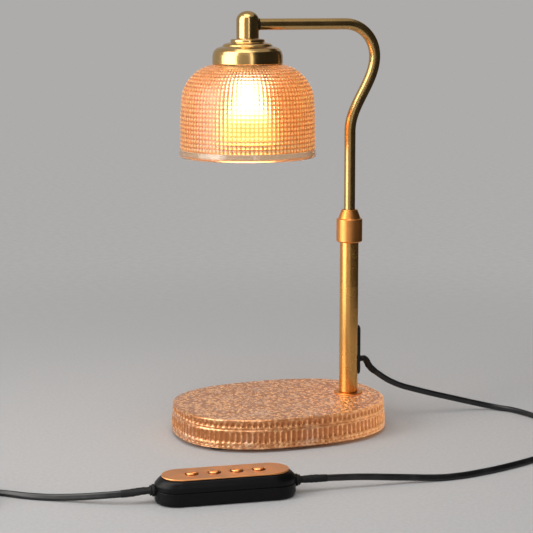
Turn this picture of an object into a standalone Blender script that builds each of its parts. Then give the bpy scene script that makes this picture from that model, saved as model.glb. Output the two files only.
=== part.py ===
"""Candle warmer lamp: a reflector bulb in a pressed-glass shade over a pressed-glass base.

The shade hangs from a swan-neck arm. The arm's straight tube slides and turns in the column's lower
tube, where a lock nut squeezes a split collet round it. The cord leaves the back of the column, runs to
a controller with four buttons, and ends in a plug beside a coil.

The base's centre at the table is the origin, +X points from it to the column and +Z is up. Metres.
"""

import math

import bmesh
import bpy
import numpy as np

# Clearances and working values shared by all pieces.
SEAT_GAP = 0.0003  # between a piece and what it rests on, sits in or turns in
OVERRUN = 0.002  # how far a cutter runs past the surface that it cuts
WELD_DISTANCE = 0.000001
SMOOTH_ANGLE = 32.0  # degrees, edges sharper than this stay sharp
FINE_SIDES = 32
ROUND_SIDES = 20
SMALL_SIDES = 14
SCREW_SIDES = 12
OUTLINE_SAMPLES = 8001  # fine steps that even spacing is measured on
ROUTE_SAMPLES = 60

# Base glass: a superellipse in plan with two tiers of flutes.
BASE_LENGTH = 0.185
BASE_WIDTH = 0.136
BASE_THICKNESS = 0.0246
BASE_ROUNDNESS = 2.4
FLUTE_COUNT = 96
FLUTE_DEPTH = 0.0008
BASE_EDGE_ROUND = 0.0016
# Height share from the underside, share of the edge round that the outline draws in, share of the flute.
BASE_LEVEL_SHARES = (
    (0.0, 1.0, 0.0),
    (0.055, 0.0, 0.0),
    (0.14, 0.1, 0.0),
    (0.2, 0.0, 1.0),
    (0.59, 0.0, 1.0),
    (0.64, 0.9, 0.0),
    (0.68, 0.9, 0.0),
    (0.735, 0.0, 1.0),
    (0.94, 0.0, 1.0),
    (1.0, 1.0, 0.0),
)

# Feet under the base.
FOOT_RADIUS = 0.007
FOOT_HEIGHT = 0.0023
FOOT_LENGTH_SHARE = 0.735  # of the base's half length
FOOT_WIDTH_SHARE = 0.53  # of the base's half width

# Column: bolt, washers and lower tube, all on the pole axis.
POLE_OFFSET = 0.065
BOLT_RADIUS = 0.0029
BOLT_HEAD_RADIUS = 0.0057
BOLT_HEAD_HEIGHT = 0.004
BOLT_GRIP = 0.0105  # of the bolt's thread inside the end bush
STEEL_WASHER_RADIUS = 0.009
STEEL_WASHER_THICKNESS = 0.0016
CUSHION_WASHER_RADIUS = 0.01
CUSHION_WASHER_THICKNESS = 0.001
COUNTERBORE_DEPTH = 0.009
COUNTERBORE_CLEARANCE = 0.001
TRIM_WASHER_RADIUS = 0.01255
TRIM_WASHER_THICKNESS = 0.0012
TRIM_WASHER_CHAMFER = 0.0003
WASHER_SEAT_DEPTH = 0.0006  # round recess in the glass for the trim washer
WASHER_SEAT_CLEARANCE = 0.0006
TUBE_RADIUS = 0.0081
TUBE_WALL = 0.0013
TUBE_LENGTH = 0.1416
END_BUSH_HEIGHT = 0.014

# Cord-exit strip in the back of the lower tube.
STRIP_LENGTH = 0.0438
STRIP_WIDTH = 0.0078
STRIP_PROUD = 0.0019
STRIP_LIFT = 0.0154  # from the base's top to the strip's lower end
STRIP_LIP = 0.0038  # how far the strip's face reaches past the slot at its ends
SLOT_WIDTH = 0.005
STRIP_EDGE = 0.0006
CORD_EXIT_LIFT = 0.0137  # from the strip's lower end to the cord

# Arm tube: straight stem, swan neck and level run.
ARM_RADIUS = 0.0048
ARM_WALL = 0.0011
ARM_SINK = 0.055  # how far the arm reaches down into the lower tube
STEM_RISE = 0.086  # from the lower tube's end to the start of the swan neck
ARM_RISE = 0.1773  # from the lower tube's end to the level run
ARM_REACH = 0.093
NECK_BULGE = 0.0225
NECK_ARC_RADIUS = 0.0275
ARM_ENTRY = 0.0055  # how deep the level run's end sits in the head knuckle
ARM_LIP = 0.0011  # flare under the guide bush
ARM_LIP_HEIGHT = 0.0008
ARM_LIP_FADE = 0.0002  # from the flare to the tube's own radius
ARM_SIDES = 12
STEM_POINTS = 6  # centre points from the arm's lower end to above the bead
NECK_SWELL_STEPS = 10
NECK_ARC_STEPS = 8
GUIDE_HEIGHT = 0.01
GUIDE_BEAD_LIFT = 0.0008

# Lock nut, top bush and split collet.
NUT_SKIRT = 0.0097  # how far the nut reaches down round the lower tube
NUT_RADIUS = 0.0112
NUT_BODY_HEIGHT = 0.0202
NUT_CONE_HEIGHT = 0.0079
NUT_CONE_RADIUS = 0.0095
NUT_MOUTH_RADIUS = 0.0066
NUT_CHAMFER = 0.0009
NUT_UPPER_CHAMFER = 0.0003
NUT_THREAD_RADIUS = 0.0079
NUT_SEAT_HEIGHT = 0.0027
NUT_SEAT_RADIUS = 0.006
NUT_ROOF = 0.0024
BUSH_SPIGOT = 0.014
BUSH_SHOULDER = 0.002
BUSH_TOP_RISE = 0.0093  # from the tube's end to the bush's upper end
BUSH_SEAT_DEPTH = 0.0048
BUSH_SEAT_FLARE = 0.0015
COLLET_FOOT_LIFT = 0.0007
COLLET_WALL = 0.0018
COLLET_SLIT = 0.0012

# Head knuckle, cup and what hangs in the shade.
KNUCKLE_RADIUS = 0.00945
KNUCKLE_HEIGHT = 0.0229
KNUCKLE_BELOW_ARM = 0.0117
KNUCKLE_DOME_SHARE = 0.34
DOME_STEPS = 6
CUP_SHEET = 0.001
CUP_STEP_RADII = (0.01425, 0.0209, 0.0295)
CUP_STEP_HEIGHTS = (0.0032, 0.003, 0.0144)
CUP_SHOULDER_SHARES = ((0.42, 0.03), (0.76, 0.18), (0.95, 0.42), (1.0, 0.68))
NIPPLE_RADIUS = 0.005
NIPPLE_BORE = 0.0035
NIPPLE_BELOW_ARM = 0.001
NIPPLE_GRIP = 0.0065  # of the nipple inside the lamp holder
NIPPLE_NUT_RADIUS = 0.008
NIPPLE_NUT_HEIGHT = 0.003
GRUB_RADIUS = 0.0015
GRUB_OFFSET = 0.0066
HOLDER_CAP_RADIUS = 0.016
HOLDER_FLANGE_RADIUS = 0.024
HOLDER_FLANGE_HEIGHT = 0.0024
HOLDER_SKIRT_RADIUS = 0.019
HOLDER_SKIRT_HEIGHT = 0.0126
HOLDER_TIP_RADIUS = 0.0175
HOLDER_TIP_HEIGHT = 0.005
GASKET_RADIUS = 0.0245
GASKET_THICKNESS = 0.001
RING_RADIUS = 0.0244
RING_HEIGHT = 0.0035

# Glass shade: an outline that the wall follows inward.
SHADE_RADIUS = 0.0572
SHADE_HEIGHT = 0.077
SHADE_WALL = 0.0026
SHADE_NECK_RADIUS = 0.0279
SHADE_NECK_HEIGHT = 0.0056
SHADE_NECK_ROUND = 0.0014
# Radius share and height share from the cup down to the rim, with the flared lip last.
SHADE_OUTLINE_SHARES = (
    (0.521, 1.0),
    (0.692, 0.953),
    (0.802, 0.892),
    (0.893, 0.813),
    (0.949, 0.734),
    (0.979, 0.644),
    (0.99, 0.531),
    (0.998, 0.372),
    (1.0, 0.101),
    (1.014, 0.036),
    (0.997, 0.0),
)

# Reflector bulb with two pins.
BULB_LENGTH = 0.0545
BULB_RADIUS = 0.025
BULB_PIN_RADIUS = 0.0025
BULB_PIN_LENGTH = 0.006
BULB_PIN_SPACING = 0.01
# Radius share and height share of the bulb, from its front lens up to its cap.
BULB_OUTLINE_SHARES = (
    (0.0, 0.0),
    (0.55, 0.012),
    (0.9, 0.035),
    (1.0, 0.08),
    (0.97, 0.15),
    (0.84, 0.34),
    (0.64, 0.52),
    (0.47, 0.64),
    (0.46, 0.97),
    (0.4, 1.0),
    (0.0, 1.0),
)

# Controller on the cord.
CONTROLLER_PLACE = (-0.1054, -0.1656, 0.0)
CONTROLLER_TURN = -6.8  # degrees about Z
CONTROLLER_LENGTH = 0.107
CONTROLLER_WIDTH = 0.034
CONTROLLER_WALL = 0.0018
CONTROLLER_TOP = 0.0192
CONTROLLER_SPLIT = 0.0105
CONTROLLER_BOTTOM_ROUND = 0.003
BOTTOM_ROUND_STEPS = 3
SHOULDER_DROP = 0.0037
SHOULDER_INSET = 0.0024
SHOULDER_EASE_SHARES = (0.33, 0.55)  # of the inset and of the drop, where the shoulder bends
HOUSING_ARC_STEPS = 6
PLATE_THICKNESS = 0.0011
PLATE_LAND = 0.0004  # straight part of each hole's wall under the dish
PLATE_INSET = 0.0026
BUTTON_SPACING = 0.017
BUTTON_COUNT = 4
BUTTON_RADIUS = 0.0043
BUTTON_FLANGE = 0.0013
BUTTON_FLANGE_HEIGHT = 0.0012
BUTTON_PROUD = 0.0006
BUTTON_CROWN = 0.0011
BUTTON_TRAVEL = 0.0006
BUTTON_DISH = 0.0008
# Share of the button's radius, then of its crown, for the dome between rim and middle.
BUTTON_DOME_SHARES = ((0.8, 0.55), (0.45, 0.9))
HOLE_SIDES = 16
SWITCH_SIDES = 8
BOARD_LENGTH = 0.074
BOARD_WIDTH = 0.02
BOARD_THICKNESS = 0.0016
BOARD_BOTTOM = 0.008
SWITCH_BODY_RADIUS = 0.0042
SWITCH_BODY_HEIGHT = 0.0029
SWITCH_PLUNGER_RADIUS = 0.0017
POST_RADIUS = 0.003
POST_REACH = 0.03
PILLAR_RADIUS = 0.0034
PILLAR_PLACE = (0.042, 0.0075)
SCREW_RADIUS = 0.0011
SCREW_HEAD_RADIUS = 0.0023
SCREW_HEAD_HEIGHT = 0.0014
SCREW_HEAD_SINK = 0.0006
SCREW_TIP = 0.016

# Grommets at both ends of the controller.
GROMMET_HEIGHT = 0.01
GROMMET_FLANGE_RADIUS = 0.0046
GROMMET_FLANGE = 0.0018
GROMMET_NECK_RADIUS = 0.003
GROMMET_NECK = 0.0015
GROMMET_BARREL_RADIUS = 0.0036
GROMMET_INNER_FLANGE = 0.0014

# Plug.
PLUG_LENGTH = 0.038
PLUG_WIDTH = 0.024
PLUG_HEIGHT = 0.0124
PLUG_ROUNDNESS = 3.0
PLUG_RELIEF_RADIUS = 0.0034
# Length share, then how far the section has grown from the relief's radius to the full width and height.
PLUG_SECTION_SHARES = ((0.0, 0.0), (0.3, 0.06), (0.42, 0.6), (0.58, 1.0), (0.95, 1.0), (1.0, 0.9))
PLUG_SIDES = 20
BLADE_WIDTH = 0.0063
BLADE_THICKNESS = 0.0015
BLADE_SPACING = 0.0127
BLADE_LENGTH = 0.017
BLADE_SEAT = 0.007
BLADE_TIP = 0.0025

# Cord: its thickness, its free stretches and its coil. Route points are chosen by hand.
CORD_DIAMETER = 0.0044
CORD_STEP_SHARE = 3.0  # of a diameter from one point of a free stretch to the next
LAMP_ROUTE = (
    (0.0856, 0.0, 0.0479),
    (0.0944, 0.0, 0.0407),
    (0.104, 0.0, 0.0343),
    (0.1152, 0.0, 0.0289),
    (0.1288, -0.0002, 0.0243),
    (0.1442, -0.0006, 0.0195),
    (0.1648, -0.0015, 0.0136),
    (0.1848, -0.0025, 0.0079),
    (0.2015, -0.0065, 0.0038),
    (0.213, -0.0165, 0.0023),
    (0.2195, -0.03, 0.0022),
    (0.2235, -0.046, 0.0022),
    (0.2262, -0.07, 0.0022),
    (0.2235, -0.097, 0.0022),
    (0.213, -0.1225, 0.0022),
    (0.1955, -0.143, 0.0022),
    (0.1745, -0.157, 0.0022),
    (0.154, -0.1655, 0.0022),
    (0.1298, -0.1737, 0.0022),
    (0.106, -0.18, 0.0022),
    (0.0824, -0.1838, 0.0022),
    (0.0622, -0.1834, 0.0028),
    (0.031, -0.1795, 0.0053),
    (-0.0012, -0.1768, 0.0083),
    (-0.0325, -0.1741, 0.0098),
)
SUPPLY_ROUTE = (
    (-0.178, -0.1562, 0.0088),
    (-0.1935, -0.1492, 0.0069),
    (-0.2095, -0.1392, 0.0045),
    (-0.2285, -0.127, 0.0026),
    (-0.2425, -0.1179, 0.0022),
    (-0.2575, -0.1047, 0.0022),
    (-0.271, -0.0926, 0.0022),
)
COIL_START = (-0.285, -0.08)  # where the coil's first turn begins
COIL_HEADING = 138.5  # degrees from +X, the way the cord runs there
COIL_RADIUS = 0.034
COIL_TURNS = 3.25  # in each of the two layers
COIL_SPACING = 0.005
COIL_CLIMB_TURNS = 0.5  # from the lower layer to the upper one
COIL_CLIMB_DIP = 0.0012
COIL_POINTS = 24  # on one turn
TAIL_LENGTH = 0.045


def clear_scene():
    """Start from an empty scene."""
    for item in list(bpy.data.objects):
        bpy.data.objects.remove(item, do_unlink=True)


def finish(name, colour, roughness, metallic=0.0, transmission=0.0):
    """Principled material of one piece."""
    made = bpy.data.materials.new(name)
    made.use_nodes = True
    surface = made.node_tree.nodes["Principled BSDF"]
    surface.inputs["Base Color"].default_value = (*colour, 1.0)
    surface.inputs["Roughness"].default_value = roughness
    surface.inputs["Metallic"].default_value = metallic
    surface.inputs["Transmission Weight"].default_value = transmission
    made.diffuse_color = (*colour, 1.0)
    return made


def brass(name):
    return finish(name, (0.55, 0.36, 0.16), 0.28, metallic=1.0)


def steel(name):
    return finish(name, (0.6, 0.6, 0.6), 0.35, metallic=1.0)


def black_plastic(name):
    return finish(name, (0.02, 0.02, 0.02), 0.45)


def rubber(name):
    return finish(name, (0.015, 0.015, 0.015), 0.8)


def amber_glass(name):
    return finish(name, (0.85, 0.42, 0.16), 0.08, transmission=0.8)


def add_object(name, shape, look, place=(0.0, 0.0, 0.0), turn=(0.0, 0.0, 0.0), parent=None):
    """Turn a bmesh into a named object with its faces pointing out."""
    bmesh.ops.recalc_face_normals(shape, faces=shape.faces)
    mesh = bpy.data.meshes.new(name)
    shape.to_mesh(mesh)
    shape.free()
    mesh.shade_smooth()
    mesh.set_sharp_from_angle(angle=math.radians(SMOOTH_ANGLE))
    made = bpy.data.objects.new(name, mesh)
    bpy.context.scene.collection.objects.link(made)
    made.location = place
    made.rotation_euler = turn
    made.parent = parent
    if look is not None:
        mesh.materials.append(look(name))
    return made


def turned(name, profile, look, sides=ROUND_SIDES, **where):
    """Spin a profile of (radius, height) points once round Z; it closes on itself or on the axis."""
    shape = bmesh.new()
    points = [shape.verts.new((radius, 0.0, height)) for radius, height in profile]
    pairs = list(zip(points, points[1:]))
    if profile[0][0] > 0.0:
        pairs.append((points[-1], points[0]))
    edges = [shape.edges.new(pair) for pair in pairs]
    bmesh.ops.spin(
        shape,
        geom=points + edges,
        cent=(0.0, 0.0, 0.0),
        axis=(0.0, 0.0, 1.0),
        angle=math.tau,
        steps=sides,
        use_merge=True,
    )
    bmesh.ops.remove_doubles(shape, verts=shape.verts, dist=WELD_DISTANCE)
    return add_object(name, shape, look, **where)


def lofted(name, rings, look, closed=False, **where):
    """Join rings of as many points each, with a face at both ends or back to the first ring."""
    shape = bmesh.new()
    loops = [[shape.verts.new(point) for point in ring] for ring in rings]
    pairs = list(zip(loops, loops[1:]))
    if closed:
        pairs.append((loops[-1], loops[0]))
    else:
        shape.faces.new(loops[0])
        shape.faces.new(loops[-1])
    for lower, upper in pairs:
        for a in range(len(lower)):
            b = (a + 1) % len(lower)
            shape.faces.new((lower[a], lower[b], upper[b], upper[a]))
    return add_object(name, shape, look, **where)


def ring_profile(inner, outer, bottom, top):
    """Closed profile of a plain ring."""
    return [(outer, bottom), (outer, top), (inner, top), (inner, bottom)]


def disc_profile(radius, bottom, top):
    """Profile of a plain disc that closes on the axis."""
    return [(0.0, bottom), (radius, bottom), (radius, top), (0.0, top)]


def joined(guides):
    """One guide object from several that don't touch each other."""
    shape = bmesh.new()
    for guide in guides:
        start = len(shape.verts)
        shape.from_mesh(guide.data)
        shape.verts.ensure_lookup_table()
        bmesh.ops.transform(shape, matrix=guide.matrix_basis, verts=shape.verts[start:])
    first, *others = guides
    shape.to_mesh(first.data)
    shape.free()
    first.location = (0.0, 0.0, 0.0)
    first.rotation_euler = (0.0, 0.0, 0.0)
    for guide in others:
        bpy.data.objects.remove(guide, do_unlink=True)
    return first


def combine(target, guides, operation="DIFFERENCE"):
    """Cut the guides out of the target, or join them on, in one step."""
    guide = joined(guides)
    guide.hide_render = True
    guide.display_type = "WIRE"
    modifier = target.modifiers.new(operation.title(), "BOOLEAN")
    modifier.operation = operation
    modifier.solver = "EXACT"
    modifier.object = guide


def empty_seat(name, place, turn_degrees):
    """Empty that carries a group of pieces."""
    made = bpy.data.objects.new(name, None)
    bpy.context.scene.collection.objects.link(made)
    made.location = place
    made.rotation_euler = (0.0, 0.0, math.radians(turn_degrees))
    return made


def superellipse(half_length, half_width, roundness, angles):
    """Points of a superellipse in plan at the given curve parameters."""
    across = np.cos(angles)
    along = np.sin(angles)
    x = half_length * np.sign(across) * np.abs(across) ** (2.0 / roundness)
    y = half_width * np.sign(along) * np.abs(along) ** (2.0 / roundness)
    return np.stack([x, y], axis=1)


def even_angles(half_length, half_width, roundness, count):
    """Curve parameters that split the superellipse into equal runs."""
    dense = np.linspace(0.0, math.tau, OUTLINE_SAMPLES)
    points = superellipse(half_length, half_width, roundness, dense)
    runs = np.linalg.norm(np.diff(points, axis=0), axis=1)
    travelled = np.concatenate([[0.0], np.cumsum(runs)])
    return np.interp(np.arange(count) * travelled[-1] / count, travelled, dense)


def stadium(length, width, height, steps=HOUSING_ARC_STEPS):
    """Outline with half-round ends at one height."""
    radius = width / 2
    reach = length / 2 - radius
    points = []
    for side in (1.0, -1.0):
        for step in range(steps + 1):
            angle = math.pi * (step / steps - 0.5)
            x = side * (reach + radius * math.cos(angle))
            points.append((x, side * radius * math.sin(angle), height))
    return points


def base_top():
    return FOOT_HEIGHT + SEAT_GAP + BASE_THICKNESS


def washer_seat():
    """Height of the recess that the trim washer lies in."""
    return base_top() - WASHER_SEAT_DEPTH


def tube_foot():
    """Height of the lower tube's foot on the trim washer."""
    return washer_seat() + TRIM_WASHER_THICKNESS + 2 * SEAT_GAP


def tube_top():
    return tube_foot() + TUBE_LENGTH


def strip_bottom():
    return base_top() + STRIP_LIFT


def cord_exit_height():
    return strip_bottom() + CORD_EXIT_LIFT


def arm_bottom():
    return tube_top() - ARM_SINK


def neck_start():
    return tube_top() + STEM_RISE


def arm_height():
    return tube_top() + ARM_RISE


def nut_bottom():
    return tube_top() - NUT_SKIRT


def knuckle_base():
    return arm_height() - KNUCKLE_BELOW_ARM


def nipple_top():
    return arm_height() - ARM_RADIUS - NIPPLE_BELOW_ARM


def cup_levels():
    """Heights of the cup's top, its two steps and its rim."""
    levels = [knuckle_base() - SEAT_GAP]
    for height in CUP_STEP_HEIGHTS:
        levels.append(levels[-1] - height)
    return levels


def holder_top():
    return cup_levels()[0] - CUP_SHEET - NIPPLE_NUT_HEIGHT - 2 * SEAT_GAP


def nipple_bottom():
    return holder_top() - NIPPLE_GRIP


def shade_rim():
    return cup_levels()[-1] - SEAT_GAP - SHADE_HEIGHT


def base_glass():
    """Two-tier fluted base with the washer's seat, the bolt's hole and its counterbore."""
    count = 2 * FLUTE_COUNT
    half_length = BASE_LENGTH / 2
    half_width = BASE_WIDTH / 2
    angles = even_angles(half_length, half_width, BASE_ROUNDNESS, count)
    valley = np.arange(count) % 2
    rings = []
    for height_share, inset_share, flute_share in BASE_LEVEL_SHARES:
        inset = inset_share * BASE_EDGE_ROUND
        crest = superellipse(half_length - inset, half_width - inset, BASE_ROUNDNESS, angles)
        drawn = inset + flute_share * FLUTE_DEPTH
        groove = superellipse(half_length - drawn, half_width - drawn, BASE_ROUNDNESS, angles)
        outline = np.where(valley[:, None] == 1, groove, crest)
        height = FOOT_HEIGHT + SEAT_GAP + height_share * BASE_THICKNESS
        rings.append([(x, y, height) for x, y in outline])
    glass = lofted("base_glass", rings, amber_glass)
    underside = FOOT_HEIGHT + SEAT_GAP
    bore = BOLT_RADIUS + 2 * SEAT_GAP
    wide = CUSHION_WASHER_RADIUS + COUNTERBORE_CLEARANCE
    seat = TRIM_WASHER_RADIUS + WASHER_SEAT_CLEARANCE
    profile = [
        (0.0, underside - OVERRUN),
        (wide, underside - OVERRUN),
        (wide, underside + COUNTERBORE_DEPTH),
        (bore, underside + COUNTERBORE_DEPTH),
        (bore, washer_seat()),
        (seat, washer_seat()),
        (seat, base_top() + OVERRUN),
        (0.0, base_top() + OVERRUN),
    ]
    combine(glass, [turned("bolt_hole_guide", profile, None, place=(POLE_OFFSET, 0.0, 0.0))])


def feet():
    """Four rubber pads under the base."""
    reach = FOOT_LENGTH_SHARE * BASE_LENGTH / 2
    spread = FOOT_WIDTH_SHARE * BASE_WIDTH / 2
    places = [(reach, spread), (-reach, spread), (-reach, -spread), (reach, -spread)]
    for number, (x, y) in enumerate(places, start=1):
        profile = disc_profile(FOOT_RADIUS, 0.0, FOOT_HEIGHT)
        turned(f"foot_pad_{number}", profile, rubber, sides=SMALL_SIDES, place=(x, y, 0.0))


def on_pole(name, profile, look, sides=ROUND_SIDES):
    """Turned piece on the column's axis."""
    return turned(name, profile, look, sides=sides, place=(POLE_OFFSET, 0.0, 0.0))


def column_fixing():
    """Bolt, washers and end bush that clamp the column to the base."""
    ceiling = FOOT_HEIGHT + SEAT_GAP + COUNTERBORE_DEPTH
    bore = BOLT_RADIUS + SEAT_GAP
    cushion_top = ceiling - SEAT_GAP
    cushion_bottom = cushion_top - CUSHION_WASHER_THICKNESS
    on_pole("cushion_washer", ring_profile(bore, CUSHION_WASHER_RADIUS, cushion_bottom, cushion_top), rubber)
    steel_top = cushion_bottom - SEAT_GAP
    steel_bottom = steel_top - STEEL_WASHER_THICKNESS
    on_pole("base_washer", ring_profile(bore, STEEL_WASHER_RADIUS, steel_bottom, steel_top), steel)
    head_top = steel_bottom - SEAT_GAP
    bolt_top = tube_foot() + BOLT_GRIP
    bolt = [
        (0.0, head_top - BOLT_HEAD_HEIGHT),
        (BOLT_HEAD_RADIUS, head_top - BOLT_HEAD_HEIGHT),
        (BOLT_HEAD_RADIUS, head_top),
        (BOLT_RADIUS, head_top),
        (BOLT_RADIUS, bolt_top),
        (0.0, bolt_top),
    ]
    on_pole("base_bolt", bolt, steel, sides=SCREW_SIDES)
    outer = TUBE_RADIUS - TUBE_WALL - SEAT_GAP
    bush_foot = tube_foot()
    on_pole("tube_end_bush", ring_profile(bore, outer, bush_foot, bush_foot + END_BUSH_HEIGHT), brass)
    low = washer_seat() + SEAT_GAP
    high = low + TRIM_WASHER_THICKNESS
    trim = [
        (TRIM_WASHER_RADIUS, low),
        (TRIM_WASHER_RADIUS, high - TRIM_WASHER_CHAMFER),
        (TRIM_WASHER_RADIUS - TRIM_WASHER_CHAMFER, high),
        (bore, high),
        (bore, low),
    ]
    on_pole("trim_washer", trim, brass)


def strip_outline(width, bottom, top, distance, steps=6):
    """Upright oblong with round ends, seen along X, at one distance from the pole axis."""
    radius = width / 2
    points = []
    for centre, start in ((top - radius, 0.0), (bottom + radius, math.pi)):
        for step in range(steps + 1):
            angle = start + math.pi * step / steps
            points.append((distance, radius * math.cos(angle), centre + radius * math.sin(angle)))
    return points


def lower_tube():
    """Column tube with the slot for the cord-exit strip."""
    inner = TUBE_RADIUS - TUBE_WALL
    tube = on_pole("lower_tube", ring_profile(inner, TUBE_RADIUS, tube_foot(), tube_top()), brass)
    bottom = strip_bottom() + STRIP_LIP
    top = strip_bottom() + STRIP_LENGTH - STRIP_LIP
    rings = [
        strip_outline(SLOT_WIDTH, bottom, top, distance)
        for distance in (inner - OVERRUN, TUBE_RADIUS + OVERRUN)
    ]
    combine(tube, [lofted("slot_guide", rings, None, place=(POLE_OFFSET, 0.0, 0.0))])


def cord_exit_strip():
    """Moulded strip whose neck fills the slot and whose face lies round the tube."""
    inner = TUBE_RADIUS - TUBE_WALL
    outer = TUBE_RADIUS + STRIP_PROUD
    top = strip_bottom() + STRIP_LENGTH
    face = [
        strip_outline(STRIP_WIDTH, strip_bottom(), top, inner),
        strip_outline(STRIP_WIDTH, strip_bottom(), top, outer - STRIP_EDGE),
        strip_outline(
            STRIP_WIDTH - 2 * STRIP_EDGE, strip_bottom() + STRIP_EDGE, top - STRIP_EDGE, outer
        ),
    ]
    strip = lofted("cord_exit_strip", face, rubber, place=(POLE_OFFSET, 0.0, 0.0))
    hollow = disc_profile(TUBE_RADIUS + SEAT_GAP, strip_bottom() - OVERRUN, top + OVERRUN)
    combine(strip, [turned("strip_hollow_guide", hollow, None, place=(POLE_OFFSET, 0.0, 0.0))])
    lip = STRIP_LIP + SEAT_GAP
    neck_width = SLOT_WIDTH - 2 * SEAT_GAP
    neck = [
        strip_outline(neck_width, strip_bottom() + lip, top - lip, distance)
        for distance in (inner + SEAT_GAP / 2, outer - STRIP_EDGE)
    ]
    neck_guide = lofted("strip_neck_guide", neck, None, place=(POLE_OFFSET, 0.0, 0.0))
    combine(strip, [neck_guide], "UNION")


def nut_cone_base():
    return nut_bottom() + NUT_BODY_HEIGHT


def bush_top():
    return tube_top() + BUSH_TOP_RISE


def seat_line(radius):
    """Height of the nut's inner cone at a radius."""
    start = nut_cone_base() + NUT_ROOF / 2
    return start + (NUT_THREAD_RADIUS - radius) * NUT_SEAT_HEIGHT / (NUT_THREAD_RADIUS - NUT_SEAT_RADIUS)


def lock_nut():
    """Knurl-free nut: straight body, small step and a cone up to the arm tube."""
    bore = ARM_RADIUS + SEAT_GAP
    skirt = TUBE_RADIUS + SEAT_GAP
    top = nut_cone_base() + NUT_CONE_HEIGHT
    step = tube_top() + BUSH_SHOULDER + 2 * SEAT_GAP
    profile = [
        (skirt, nut_bottom()),
        (NUT_RADIUS - NUT_CHAMFER, nut_bottom()),
        (NUT_RADIUS, nut_bottom() + NUT_CHAMFER),
        (NUT_RADIUS, nut_cone_base() - NUT_UPPER_CHAMFER),
        (NUT_RADIUS - NUT_UPPER_CHAMFER, nut_cone_base()),
        (NUT_CONE_RADIUS, nut_cone_base()),
        (NUT_MOUTH_RADIUS, top),
        (bore, top),
        (bore, seat_line(bore)),
        (NUT_THREAD_RADIUS, seat_line(NUT_THREAD_RADIUS)),
        (NUT_THREAD_RADIUS, step),
        (skirt, step),
    ]
    on_pole("lock_nut", profile, brass)


def top_bush():
    """Bush in the tube's head: spigot, shoulder, thread and a flared seat for the collet."""
    bore = ARM_RADIUS + SEAT_GAP
    spigot = TUBE_RADIUS - TUBE_WALL - SEAT_GAP
    thread = NUT_THREAD_RADIUS - SEAT_GAP
    shoulder = tube_top() + SEAT_GAP
    profile = [
        (spigot, tube_top() - BUSH_SPIGOT),
        (spigot, shoulder),
        (TUBE_RADIUS, shoulder),
        (TUBE_RADIUS, shoulder + BUSH_SHOULDER),
        (thread, shoulder + BUSH_SHOULDER),
        (thread, bush_top()),
        (bore + BUSH_SEAT_FLARE, bush_top()),
        (bore, bush_top() - BUSH_SEAT_DEPTH),
        (bore, tube_top() - BUSH_SPIGOT),
    ]
    on_pole("top_bush", profile, brass)


def collet():
    """Split ring with a taper at both ends, squeezed between bush and nut."""
    bore = ARM_RADIUS + SEAT_GAP
    widest = bore + COLLET_WALL
    slope = BUSH_SEAT_FLARE / BUSH_SEAT_DEPTH
    foot = bush_top() - BUSH_SEAT_DEPTH + COLLET_FOOT_LIFT
    foot_radius = bore + slope * COLLET_FOOT_LIFT
    neck_top = bush_top() + SEAT_GAP
    tip_radius = bore + COLLET_WALL / 2
    profile = [
        (bore, foot + SEAT_GAP),
        (foot_radius, foot + SEAT_GAP),
        (bore + BUSH_SEAT_FLARE - SEAT_GAP, neck_top),
        (widest, neck_top),
        (widest, seat_line(widest) - SEAT_GAP),
        (tip_radius, seat_line(tip_radius) - SEAT_GAP),
        (bore, seat_line(tip_radius) - SEAT_GAP),
    ]
    ring = on_pole("split_collet", profile, brass)
    reach = widest + OVERRUN
    half = COLLET_SLIT / 2
    slit = [
        [(0.0, -half, height), (reach, -half, height), (reach, half, height), (0.0, half, height)]
        for height in (foot - OVERRUN, seat_line(tip_radius) + OVERRUN)
    ]
    combine(ring, [lofted("slit_guide", slit, None, place=(POLE_OFFSET, 0.0, 0.0))])


def arm_centreline():
    """Centre points (x, z) of the arm from its lower end to the knuckle, x measured from the pole."""
    arc_height = arm_height() - NECK_ARC_RADIUS
    guide_top = arm_bottom() + ARM_LIP_HEIGHT + GUIDE_HEIGHT + 2 * SEAT_GAP
    stem = [
        arm_bottom(),
        arm_bottom() + ARM_LIP_HEIGHT,
        arm_bottom() + ARM_LIP_HEIGHT + ARM_LIP_FADE,
        guide_top,
        guide_top + GUIDE_BEAD_LIFT / 2,
        guide_top + GUIDE_BEAD_LIFT,
    ]
    points = [(0.0, height) for height in stem]
    for step in range(NECK_SWELL_STEPS):
        share = step / NECK_SWELL_STEPS
        swing = NECK_BULGE * (1.0 - math.cos(math.pi * share)) / 2
        points.append((swing, neck_start() + share * (arc_height - neck_start())))
    for step in range(NECK_ARC_STEPS + 1):
        angle = math.pi / 2 * step / NECK_ARC_STEPS
        x = NECK_BULGE - NECK_ARC_RADIUS * (1.0 - math.cos(angle))
        points.append((x, arc_height + NECK_ARC_RADIUS * math.sin(angle)))
    points.append((-ARM_REACH + KNUCKLE_RADIUS - ARM_ENTRY, arm_height()))
    return points


def arm_radii(count):
    """Outer radius at each centre point: lip and bead hold the guide bush, the rest is plain."""
    flare = ARM_RADIUS + ARM_LIP
    bead = ARM_RADIUS + ARM_LIP / 2
    stem = [flare, flare, ARM_RADIUS, ARM_RADIUS, bead, ARM_RADIUS]
    return stem + [ARM_RADIUS] * (count - STEM_POINTS)


def ring_across(point, ahead, radius):
    """Circle of points round a centre point, square to the way that the tube runs."""
    length = math.hypot(*ahead)
    side = (-ahead[1] / length, ahead[0] / length)
    ring = []
    for step in range(ARM_SIDES):
        angle = math.tau * step / ARM_SIDES
        out = radius * math.cos(angle)
        ring.append((point[0] + side[0] * out, radius * math.sin(angle), point[1] + side[1] * out))
    return ring


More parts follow.
